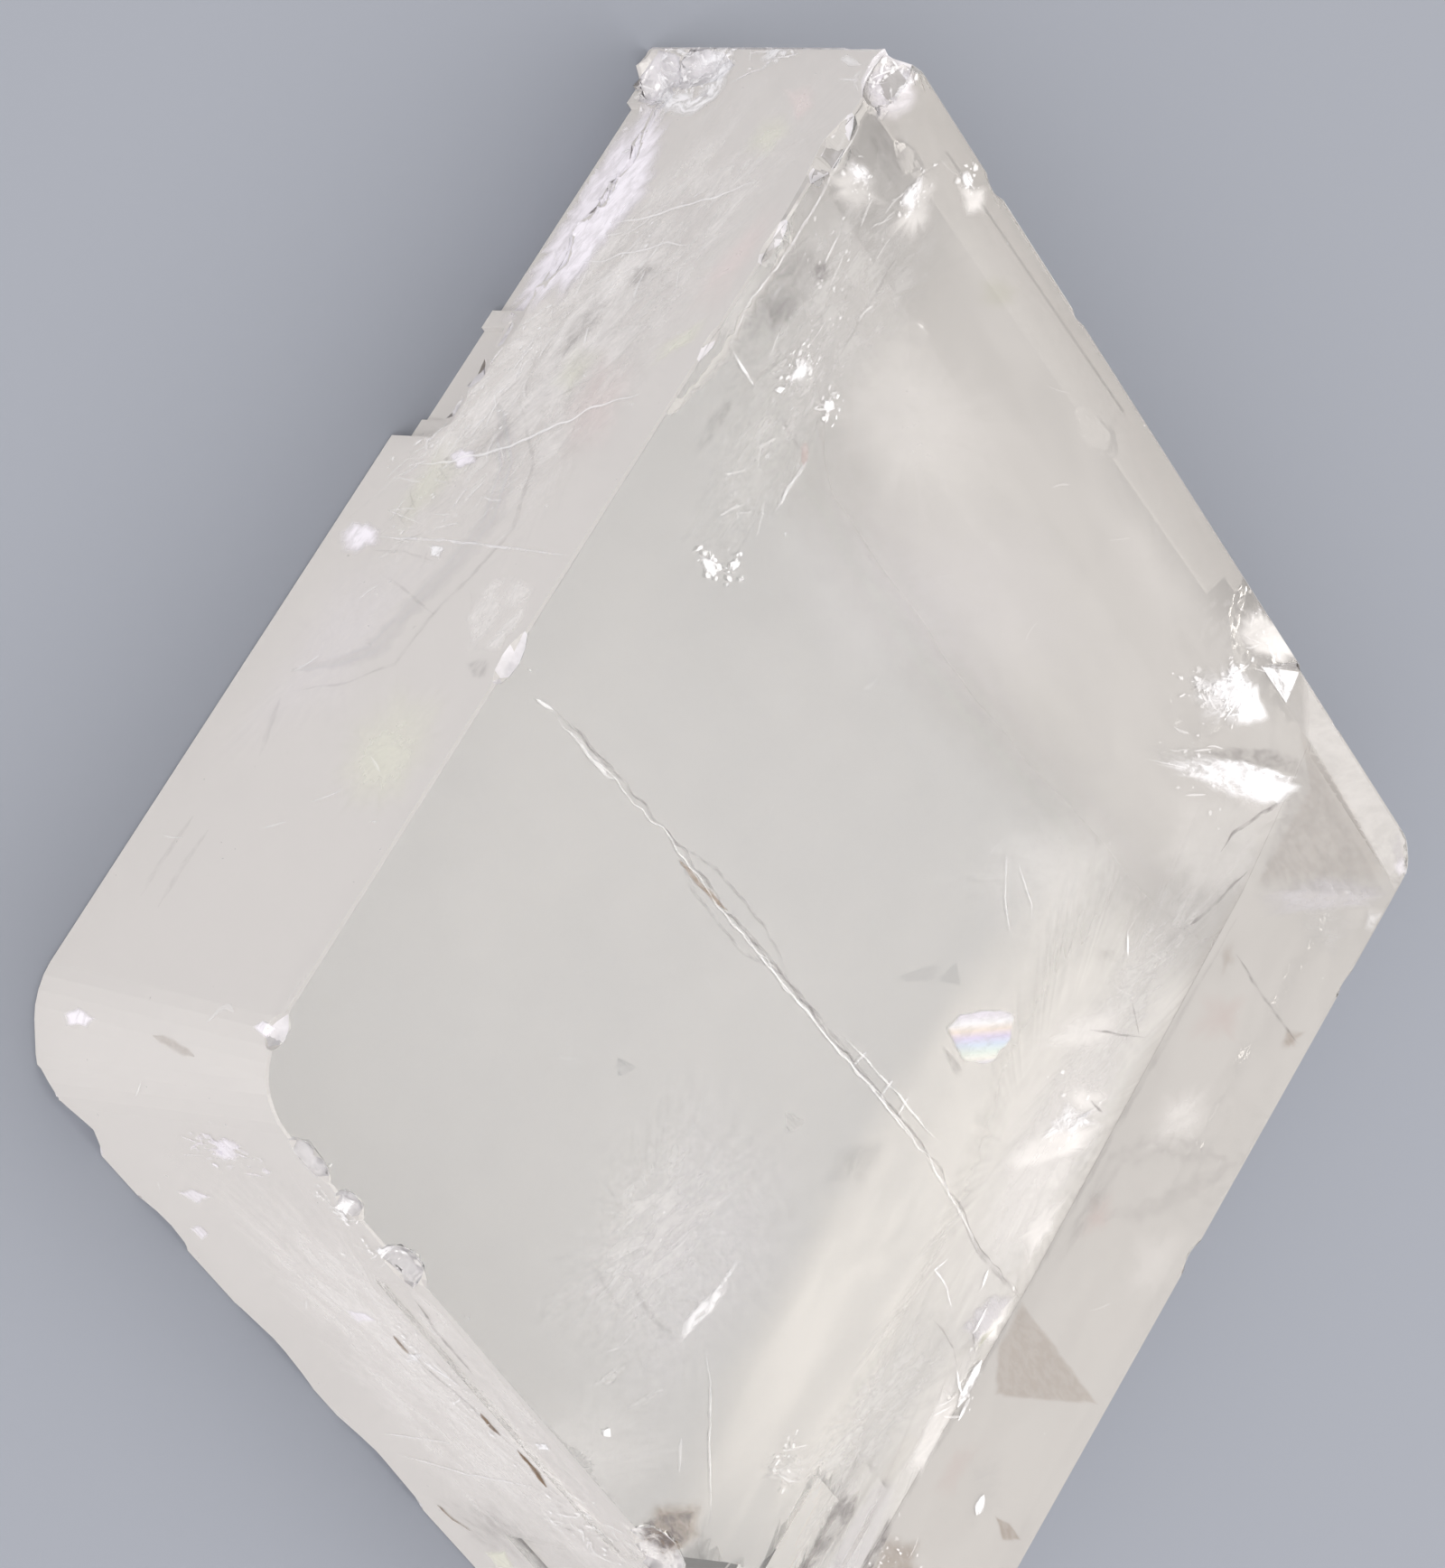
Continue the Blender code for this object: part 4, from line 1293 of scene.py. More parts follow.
# The haze on the lower face
LOW_HAZE: Marks = {
    Finish.HAZE: (
        Patch(
            ((0.6, 0.6), (13.6, 6.2), (16.5, 18.2), (17.8, 32.4), (16.7, 44.4), (17.1, 54.7), (14.5, 66.8),
            (0.6, 66.8), (0.6, 30.0)), 0.95, sheet=Sheet.UNDER, soft=0.6, ragged=0.08, grain=88,
            sink=-0.02),
    ),
}

# A pale cloud on the top near its lower-right edge, and the flat painted tone that hides the reflections in
# the strips along its right-hand edges
CLOUDS: Marks = {
    Finish.CREAM: (
        Patch(
            ((8.0, 6.0), (14.0, 6.0), (22.0, 11.0), (24.5, 20.0), (23.5, 30.0), (19.5, 45.0), (19.5, 56.0),
            (15.0, 69.0), (8.0, 69.0), (7.0, 40.0)), 0.95, soft=0.6, ragged=0.1, grain=88),
    ),
    Finish.MILK: (
        Patch(
            ((84.0, -5.0), (6.0, -5.0), (-6.0, -5.0), (-6.0, 8.0), (4.0, 20.0), (12.6, 22.0), (40.0, 25.0),
            (64.0, 25.0), (84.0, 12.0)), soft=0.65, ragged=0.0),
        Patch(
            ((-3.0, -3.0), (-3.0, 69.0), (11.3, 69.0), (10.9, 41.0), (11.7, 12.0), (12.6, 4.6), (13.2, 1.0),
            (13.4, -3.0)), 0.97, soft=0.06, ragged=0.0, grain=90),
    ),
}

# Soft glows, sheens, tinges and stains, all but one of them on the top
GLOWS: Marks = {
    Finish.CREAM: (
        Stroke(2.6, ((65.4, 3.4), (65.6, 8.0), (65.6, 14.0), (65.6, 20.0), (65.7, 26.0)), wander=0.2),
    ),
    Finish.VEIL: (
        Patch(((8.6, 50.6), (6.0, 47.6), (3.2, 50.6), (5.6, 54.6)), 0.3, soft=0.9, grain=50),
    ),
    Finish.GLOW: (
        Patch(
            ((33.5, 26.0), (25.6, 16.5), (17.9, 13.3), (16.5, 16.9), (23.1, 27.7), (31.5, 30.3)), 0.26,
            soft=0.9, ragged=0.15, grain=50),
        Patch(
            ((44.0, 74.4), (35.6, 63.3), (26.0, 62.1), (28.4, 72.8), (37.7, 78.6)), 0.26, soft=0.9,
            ragged=0.15, grain=50),
        Patch(
            ((38.5, 3.5), (26.4, 2.5), (18.0, 2.3), (23.1, 8.1), (32.2, 7.7), (41.3, 7.2)), 0.2, soft=0.9,
            ragged=0.15, grain=50),
        Patch(
            ((73.8, 20.3), (71.1, 14.2), (64.6, 12.1), (62.4, 18.7), (66.2, 25.7), (72.3, 25.0)), 0.45,
            soft=0.9, ragged=0.15, grain=50),
        Patch(
            ((62.0, 14.7), (57.5, 8.2), (43.7, 6.9), (39.1, 13.8), (49.1, 19.0), (59.3, 19.6)), 0.35,
            soft=0.9, ragged=0.15, grain=50),
        Patch(
            ((18.8, 38.0), (17.2, 30.0), (13.4, 24.0), (11.8, 28.0), (11.2, 40.0), (14.0, 44.0)), 0.7,
            soft=0.8, ragged=0.15, grain=50),
        Patch(
            ((66.0, 9.5), (64.8, 7.0), (62.6, 6.0), (60.6, 6.8), (61.6, 9.0), (64.5, 10.2)), 0.72, soft=0.8,
            grain=50),
        Patch(
            ((60.0, 8.6), (60.2, 6.4), (60.2, 3.4), (58.8, 2.4), (57.3, 4.8), (57.5, 7.0)), 0.72, soft=0.8,
            grain=50),
        Patch(((57.8, 2.2), (55.5, 0.4), (54.7, 1.7), (55.8, 3.0)), 0.95, soft=0.7, ragged=0.15, grain=50),
        Patch(
            ((23.5, 2.9), (22.5, 0.2), (18.9, -0.6), (16.2, -0.6), (17.9, 1.4), (22.0, 3.2)), 0.9,
            ragged=0.15, grain=50),
        Patch(
            ((22.7, 12.4), (20.0, 9.7), (16.0, 7.3), (11.3, 5.2), (12.3, 8.1), (17.6, 10.6)), 0.6, soft=0.8,
            ragged=0.15, grain=50),
        Patch(
            ((10.9, 4.9), (10.8, 12.0), (14.8, 16.4), (19.2, 16.9), (21.8, 13.2), (16.4, 8.9)), 0.3,
            ragged=0.15, grain=50),
        Patch(
            ((10.6, 11.8), (7.7, 8.8), (4.4, 6.2), (0.2, 3.6), (3.2, 7.4), (8.0, 11.4)), 0.35, soft=0.8,
            ragged=0.15, grain=50),
        Patch(
            ((18.4, 37.2), (16.4, 33.2), (11.4, 28.6), (11.4, 31.0), (14.4, 35.2), (17.0, 37.6)), soft=0.6,
            ragged=0.15, grain=50),
        Patch(
            ((11.4, 33.6), (13.4, 36.4), (13.8, 39.6), (11.6, 40.2), (11.2, 37.0)), 0.75, soft=0.7,
            grain=70),
        Patch(((13.8, 44.1), (11.2, 41.2), (10.9, 44.6), (12.2, 45.6)), 0.85, grain=70),
        Patch(
            ((20.8, 31.6), (19.7, 27.4), (14.1, 22.0), (13.2, 24.9), (16.0, 28.8)), 0.65, soft=0.8,
            ragged=0.15, grain=50),
        Patch(((12.2, 54.6), (13.0, 48.3), (11.0, 47.8), (10.6, 54.0)), 0.75, ragged=0.1, grain=85),
        Patch(
            ((17.6, 20.0), (12.4, 18.0), (11.8, 30.0), (11.2, 47.0), (14.6, 50.0), (18.0, 44.0),
            (19.6, 32.0)), 0.4, soft=0.8, ragged=0.1, grain=80),
        Patch(((9.8, 25.4), (5.4, 20.9), (3.4, 25.2), (8.3, 29.5)), 0.5, soft=0.9, grain=50),
        Patch(((6.2, 32.4), (1.2, 28.8), (-0.2, 32.6), (3.8, 37.0)), 0.35, soft=0.9, grain=50),
        Patch(((66.0, 1.0), (64.6, 0.2), (63.4, 1.2), (63.8, 3.2), (65.4, 4.2), (66.0, 3.4)), grain=80),
    ),
    Finish.WISP: (
        Patch(
            ((17.0, 35.2), (15.4, 32.4), (12.2, 29.6), (12.6, 31.4), (15.0, 34.6)), 0.7, soft=0.8,
            ragged=0.15, grain=50),
        Patch(
            ((12.0, 35.0), (13.0, 37.0), (13.0, 39.0), (11.8, 38.6)), 0.5, soft=0.8, ragged=0.15, grain=50),
    ),
    Finish.BLUSH: (
        Patch(((10.9, 19.1), (7.0, 16.1), (5.3, 18.8), (9.4, 22.2)), 0.4, soft=0.9, grain=50),
        Patch(((10.2, 33.6), (8.4, 31.6), (7.0, 33.8), (9.4, 36.4)), 0.4, soft=0.9, grain=50),
        Patch(((9.8, 50.4), (7.6, 49.0), (7.4, 53.0), (9.4, 54.4)), 0.4, soft=0.9, grain=50),
    ),
    Finish.SHADOW: (
        Stroke(1.8, ((10.4, 30.9), (8.2, 28.9), (5.6, 26.6), (1.6, 24.4)), 0.12, wander=0.4),
        Stroke(1.4, ((8.2, 33.6), (5.9, 31.5), (3.3, 28.0), (0.9, 23.8)), 0.12, wander=0.4),
        Patch(
            ((10.6, 30.0), (9.0, 29.6), (8.6, 33.4), (9.4, 38.6), (10.4, 38.0)), 0.22, soft=0.8, grain=80),
    ),
    Finish.STAIN: (
        Patch(
            ((14.5, 2.6), (11.2, 4.3), (11.0, 11.8), (0.8, 3.0), (6.2, 2.4), (10.2, 2.3)), 0.1, soft=0.2,
            ragged=0.0, grain=50),
    ),
    Finish.SHEEN: (
        Patch(
            ((34.0, 8.0), (48.0, 8.0), (52.0, 16.0), (36.0, 16.6)), 0.22, sheet=Sheet.UPPER_LEFT, soft=0.9,
            ragged=0.1, grain=14),
        Patch(
            ((59.4, 28.2), (54.6, 17.8), (38.2, 8.1), (28.4, 9.2), (32.1, 18.6), (47.9, 29.0)), 0.11,
            soft=1.0, ragged=0.1, grain=50),
        Patch(
            ((65.9, 3.8), (65.4, 0.5), (63.6, 0.2), (62.4, 1.8), (63.2, 3.6), (64.8, 4.8)), 0.5, soft=0.6,
            ragged=0.1, grain=50),
        Patch(((1.9, 2.4), (0.9, 0.9), (-0.2, 1.6), (0.4, 2.6)), 0.5, soft=0.8, ragged=0.15, grain=50),
    ),
}

# Bruises, hairs and tinges on the upper-left side; their white flakes are partly painted glints
LEFT_BRUISES: Marks = {
    Finish.WISP: (
        Patch(
            ((9.0, 13.0), (16.0, 13.4), (26.0, 15.6), (33.0, 16.6), (36.0, 12.0), (30.0, 7.0), (22.0, 6.0),
            (13.0, 4.0), (9.0, 7.0)), 0.75, sheet=Sheet.UPPER_LEFT, soft=0.6, grain=12),
    ),
    Finish.ROSE: (
        Patch(
            ((11.0, 2.0), (16.0, 3.6), (20.0, 3.0), (20.0, 0.4), (12.0, 0.3)), 0.6, sheet=Sheet.UPPER_LEFT,
            soft=1.0, ragged=0.12),
        Patch(
            ((21.0, 7.4), (26.0, 7.6), (31.0, 4.4), (29.0, 1.8), (22.6, 3.4)), 0.6, sheet=Sheet.UPPER_LEFT,
            soft=1.0, ragged=0.12),
        Patch(
            ((3.4, 6.4), (4.6, 5.0), (6.6, 3.2), (5.0, 2.4), (3.2, 4.0)), 0.9, sheet=Sheet.UPPER_LEFT,
            soft=0.9, ragged=0.12),
    ),
    Finish.LIME: (
        Patch(
            ((5.4, 6.6), (8.4, 6.2), (9.0, 3.8), (6.6, 3.0), (5.0, 4.6)), 0.8, sheet=Sheet.UPPER_LEFT,
            soft=0.9, ragged=0.12),
        Patch(
            ((21.0, 9.4), (25.0, 9.2), (25.6, 7.0), (22.0, 6.2)), 0.7, sheet=Sheet.UPPER_LEFT, soft=0.9,
            ragged=0.12),
        Patch(
            ((21.6, 3.6), (23.4, 3.0), (21.0, 0.6), (19.2, 0.9)), 0.9, sheet=Sheet.UPPER_LEFT, soft=0.9,
            ragged=0.12),
        Patch(
            ((27.0, 14.2), (34.0, 15.0), (36.0, 12.4), (30.0, 10.6)), 0.6, sheet=Sheet.UPPER_LEFT, soft=0.9,
            ragged=0.12),
    ),
    Finish.SHADOW: (
        Patch(
            ((18.4, 10.0), (22.0, 10.6), (23.6, 9.4), (20.6, 8.0), (17.6, 8.2)), 0.35,
            sheet=Sheet.UPPER_LEFT, soft=0.9, grain=12),
        Patch(
            ((26.0, 11.0), (30.0, 12.2), (31.0, 10.6), (28.0, 9.0), (25.6, 9.4)), 0.25,
            sheet=Sheet.UPPER_LEFT, soft=0.9, grain=12),
        Cluster(
            (34.0, 11.2), (4.5, 4.5), 6, sheet=Sheet.UPPER_LEFT, size=0.14, hairs=14, turn=90, stray=60,
            strength=0.5),
        Cluster(
            (20.0, 10.4), (8.0, 4.0), 10, sheet=Sheet.UPPER_LEFT, size=0.15, hairs=18, turn=15, stray=20,
            strength=0.5),
    ),
    Finish.SCAR: (
        Stroke(
            1.7, ((0.6, 16.6), (0.4, 14.1), (1.0, 12.1), (2.5, 11.0), (4.2, 10.6), (4.8, 11.8), (4.0, 13.9),
            (2.8, 15.6), (1.4, 16.6)), 0.85, sheet=Sheet.UPPER_LEFT, wander=0.5),
        Patch(
            ((0.2, 9.0), (1.3, 8.8), (2.4, 8.2), (1.9, 7.2), (0.6, 6.9), (0.2, 7.6)), 0.7,
            sheet=Sheet.UPPER_LEFT, soft=0.7, ragged=0.3, grain=20),
    ),
    Finish.GLINT: (
        Cluster(
            (2.1, 13.6), (3.2, 3.8), 110, sheet=Sheet.UPPER_LEFT, size=0.22, hairs=18, turn=100, stray=60),
        Cluster(
            (0.9, 8.1), (1.4, 1.6), 26, sheet=Sheet.UPPER_LEFT, size=0.2, hairs=8, turn=90, strength=0.8),
        Cluster(
            (33.4, 11.4), (4.5, 4.5), 14, sheet=Sheet.UPPER_LEFT, size=0.14, hairs=22, turn=90, stray=60,
            strength=0.6),
        Cluster(
            (15.5, 9.1), (5.0, 3.0), 40, sheet=Sheet.UPPER_LEFT, size=0.14, hairs=20, turn=12, stray=22,
            strength=0.7),
        Cluster(
            (24.0, 12.2), (6.0, 2.4), 50, sheet=Sheet.UPPER_LEFT, size=0.15, hairs=24, turn=18, stray=20,
            strength=0.7),
        Cluster(
            (29.0, 14.6), (3.0, 2.0), 26, sheet=Sheet.UPPER_LEFT, hairs=10, turn=18, stray=20,
            strength=0.8),
        Stroke(
            0.2, ((13.2, 12.0), (12.9, 10.0), (12.0, 7.6), (10.9, 4.6), (10.4, 3.6)), 0.45,
            sheet=Sheet.UPPER_LEFT, wander=0.3),
        Stroke(
            0.2, ((16.2, 12.0), (15.4, 9.4), (14.6, 7.0), (14.8, 5.4)), 0.35, sheet=Sheet.UPPER_LEFT,
            wander=0.3),
        Stroke(
            0.25, ((30.3, 14.4), (30.0, 12.1), (28.8, 9.0), (26.2, 5.0), (24.9, 2.4)), 0.55,
            sheet=Sheet.UPPER_LEFT, wander=0.3),
    ),
}

# Veils, and bruises full of flakes and hairs, on the top; the white flakes are partly painted glints
TOP_BRUISES: Marks = {
    Finish.VEIL: (
        Patch(
            ((66.0, 3.5), (63.0, 1.0), (58.0, 0.2), (54.0, 3.0), (54.0, 9.0), (56.0, 20.0), (56.6, 30.0),
            (60.0, 31.0), (62.6, 24.0), (65.6, 14.0)), 0.6, soft=0.7, grain=80),
        Patch(
            ((42.0, 50.0), (33.0, 48.0), (31.0, 56.0), (33.0, 64.0), (41.0, 66.0), (43.0, 58.0)), 0.85,
            soft=0.9, grain=70),
        Patch(
            ((18.0, 12.0), (18.5, 26.0), (18.0, 40.0), (13.0, 40.0), (12.4, 26.0), (12.6, 8.0)), 0.7,
            soft=0.7, grain=70),
        Patch(
            ((18.0, 44.0), (19.5, 54.0), (20.0, 62.0), (14.0, 64.0), (12.6, 52.0), (12.4, 44.0)), 0.7,
            soft=0.7, grain=70),
    ),
    Finish.GLOW: (
        Patch(
            ((17.2, 31.6), (16.4, 29.6), (12.0, 27.6), (12.0, 29.4), (14.4, 31.6)), 0.75, soft=0.9,
            grain=42),
    ),
    Finish.SHADOW: (
        Cluster((61.8, 16.0), (3.0, 7.0), 30, size=0.2, hairs=8, turn=85, stray=15, strength=0.5),
    ),
    Finish.GLEAM: (
        Patch(
            ((42.0, 48.0), (30.0, 45.0), (25.0, 52.0), (30.0, 67.0), (43.0, 66.0)), 0.32, soft=0.9,
            ragged=0.1),
    ),
    Finish.GLINT: (
        Cluster((65.2, 1.6), (1.3, 1.6), 60, size=0.22, hairs=6, stray=30),
        Cluster((63.6, 7.4), (1.5, 1.2), 30, size=0.18, stray=30, strength=0.7),
        Cluster((59.7, 5.0), (1.0, 2.4), 36, hairs=2, stray=20, strength=0.7),
        Cluster((57.1, 1.5), (1.0, 0.9), 18, size=0.18, turn=60, stray=30, strength=0.7),
        Cluster((60.0, 17.6), (1.2, 1.8), 50, size=0.17, stray=20, strength=0.8),
        Cluster((57.0, 17.4), (0.9, 0.9), 30, size=0.2, hairs=2, stray=30),
        Cluster((58.2, 29.4), (1.0, 0.7), 26, size=0.2, turn=60, stray=30),
        Cluster((56.8, 28.2), (0.6, 0.6), 14, size=0.18, turn=60, stray=30),
        Cluster((61.5, 12.0), (4.0, 6.0), 60, size=0.12, hairs=10, turn=85, stray=15, strength=0.5),
        Cluster((58.5, 23.5), (3.5, 5.5), 50, size=0.12, hairs=8, turn=85, stray=20, strength=0.45),
        Cluster((20.6, 5.2), (1.8, 1.6), 60, size=0.24, hairs=6, turn=50),
        Cluster((22.9, 6.8), (1.6, 1.4), 30, size=0.18, hairs=4, turn=50, strength=0.7),
        Cluster((19.6, 1.4), (3.0, 1.2), 40, hairs=6, turn=20, strength=0.7),
        Cluster((19.5, 10.0), (4.5, 2.0), 50, size=0.14, hairs=8, turn=38, stray=12, strength=0.6),
        Cluster((14.6, 31.4), (2.4, 3.2), 30, hairs=3, turn=60, stray=30, strength=0.5),
        Cluster((20.0, 60.0), (2.2, 2.0), 40, hairs=2, turn=60, stray=50, strength=0.7),
        Cluster((9.6, 58.6), (2.2, 2.4), 40, hairs=2, turn=70, stray=50, strength=0.7),
        Cluster((11.2, 48.0), (1.2, 2.6), 24, size=0.14, hairs=3, stray=20, strength=0.7),
        Cluster(
            (36.6, 56.0), (3.0, 5.0), 40, size=0.09, hairs=8, turn=75, hair_length=1.8, stray=12,
            strength=0.3),
    ),
}

# Washes and bruises on the left-hand sides, their white flakes partly painted glints, and two soft patches by
# the right corner
RIM_BRUISES: Marks = {
    Finish.VEIL: (
        Patch(
            ((7.6, 9.4), (5.0, 7.0), (1.2, 6.4), (0.6, 9.0), (3.4, 11.0), (6.6, 11.4)), 0.6, soft=0.9,
            ragged=0.15, grain=42),
    ),
    Finish.GLOW: (
        Patch(((16.2, 0.1), (0.1, 0.1), (0.1, 3.2), (14.0, 2.6)), 0.52, soft=0.15, ragged=0.0, grain=42),
    ),
    Finish.WISP: (
        Patch(
            ((1.0, 1.0), (1.0, 10.0), (24.0, 16.0), (40.0, 14.0), (38.0, 4.0), (20.0, 1.0)), 0.55,
            sheet=Sheet.UPPER_LEFT, soft=0.6, ragged=0.1, grain=14),
        Patch(
            ((58.0, 1.0), (60.0, 12.0), (40.0, 14.0), (14.0, 16.0), (16.0, 1.0), (40.0, 1.0)), 0.4,
            sheet=Sheet.LOWER_LEFT, soft=0.6, ragged=0.1, grain=10),
        Patch(
            ((60.0, 2.0), (46.0, 3.0), (30.0, 2.0), (20.0, 1.0), (22.0, 12.0), (34.0, 8.0), (48.0, 12.0),
            (58.0, 10.0)), 0.5, sheet=Sheet.LOWER_LEFT, soft=0.6, grain=4),
    ),
    Finish.SHADOW: (
        Patch(
            ((6.0, 3.0), (10.0, 12.0), (24.0, 13.0), (36.0, 15.0), (34.0, 3.0), (20.0, 2.0)), 0.12,
            sheet=Sheet.UPPER_LEFT, ragged=0.1, grain=14),
        Cluster(
            (27.0, 4.6), (3.6, 2.4), 16, sheet=Sheet.LOWER_LEFT, size=0.2, hairs=8, turn=20, stray=60,
            strength=0.6),
    ),
    Finish.SHEEN: (
        Cluster((59.5, 6.2), (1.8, 2.4), 40, sheet=Sheet.LOWER_LEFT, size=0.3, hairs=6, strength=0.9),
    ),
    Finish.GLINT: (
        Cluster(
            (56.0, 0.8), (1.4, 0.8), 24, sheet=Sheet.LOWER_LEFT, size=0.2, hairs=3, turn=30, stray=50,
            strength=0.9),
        Cluster(
            (52.2, 0.8), (1.2, 0.8), 18, sheet=Sheet.LOWER_LEFT, size=0.18, hairs=3, turn=30, stray=50,
            strength=0.9),
        Cluster(
            (41.0, 5.0), (6.0, 1.4), 60, sheet=Sheet.LOWER_LEFT, hairs=8, turn=20, stray=60, strength=0.8),
        Cluster(
            (26.0, 4.0), (4.0, 3.0), 50, sheet=Sheet.LOWER_LEFT, hairs=14, turn=20, stray=60, strength=0.8),
    ),
}

# Dust and hair-fine scratches on the top and the left-hand sides
DUST: Marks = {
    Finish.SHADOW: (
        Cluster((36.0, 36.0), (60.0, 60.0), 110, size=0.05, turn=0, stray=90),
    ),
    Finish.GLINT: (
        Cluster((38.0, 34.0), (60.0, 60.0), 300, size=0.055, turn=0, stray=90, strength=0.9),
        Cluster((36.0, 24.0), (40.0, 30.0), 0, size=0.05, hairs=26, turn=62, stray=35, strength=0.2),
        Cluster(
            (40.0, 9.0), (46.0, 14.0), 100, sheet=Sheet.UPPER_LEFT, size=0.07, hairs=16, turn=10,
            strength=0.5),
        Cluster(
            (38.0, 9.0), (46.0, 14.0), 100, sheet=Sheet.LOWER_LEFT, size=0.07, hairs=16, turn=10,
            strength=0.5),
    ),
}


def add_piece(form: Form, name: str, material: bpy.types.Material) -> bpy.types.Object:
    """Turns a form into a dressed piece that goes with the crystal.

    Args:
        form: The piece's shape, which is freed.
        name: The piece's name.
        material: Its finish.

    Returns:
        The piece.
    """
    mesh = bpy.data.meshes.new(name)
    form.to_mesh(mesh)
    form.free()
    piece = bpy.data.objects.new(name, mesh)
    bpy.context.scene.collection.objects.link(piece)
    piece.data.materials.append(material)
    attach(piece, BODY)
    return piece


@dataclass
class MarkedSurface:
    """All the marks on and in the crystal: a piece for each finish that lies open and one for each inside.

    The later groups lie over the earlier ones.
    """

    surface: Surface
    groups: tuple[Marks, ...] = (
        CLOUDS, LOW_HAZE, LEFT_SIDE, LOWER_LEFT_RIM, TOP_CORNER, RIGHT_CORNER, LOW_CORNER, CRACK_LINE, GLOWS,
        LEFT_BRUISES, TOP_BRUISES, RIM_BRUISES, DUST,
    )

    def build(self) -> list[bpy.types.Object]:
        """Builds the pieces.

        Returns:
            The pieces.
        """
        pieces = []
        for rank, finish in enumerate(Finish):
            marks = [mark for group in self.groups for mark in group.get(finish, ())]
            material = finish.value.make()
            for is_open, prefix in ((True, "outer"), (False, "inner")):
                chosen = [mark for mark in marks if self.lies_open(mark) == is_open]
                if not chosen:
                    continue
                canvas = Canvas(self.surface, rank)
                for mark in chosen:
                    mark.lay(canvas)
                piece = add_piece(canvas.form, f"{prefix}_{finish.value.name}s", material)
                piece.visible_transmission = not is_open
                pieces.append(piece)
        return pieces

    @staticmethod
    def lies_open(mark: Mark) -> bool:
        """Tells whether a mark lies on a side that is seen without looking through the crystal."""
        return mark.sink < 0 and mark.sheet in (Sheet.TOP, Sheet.UPPER_LEFT, Sheet.LOWER_LEFT)


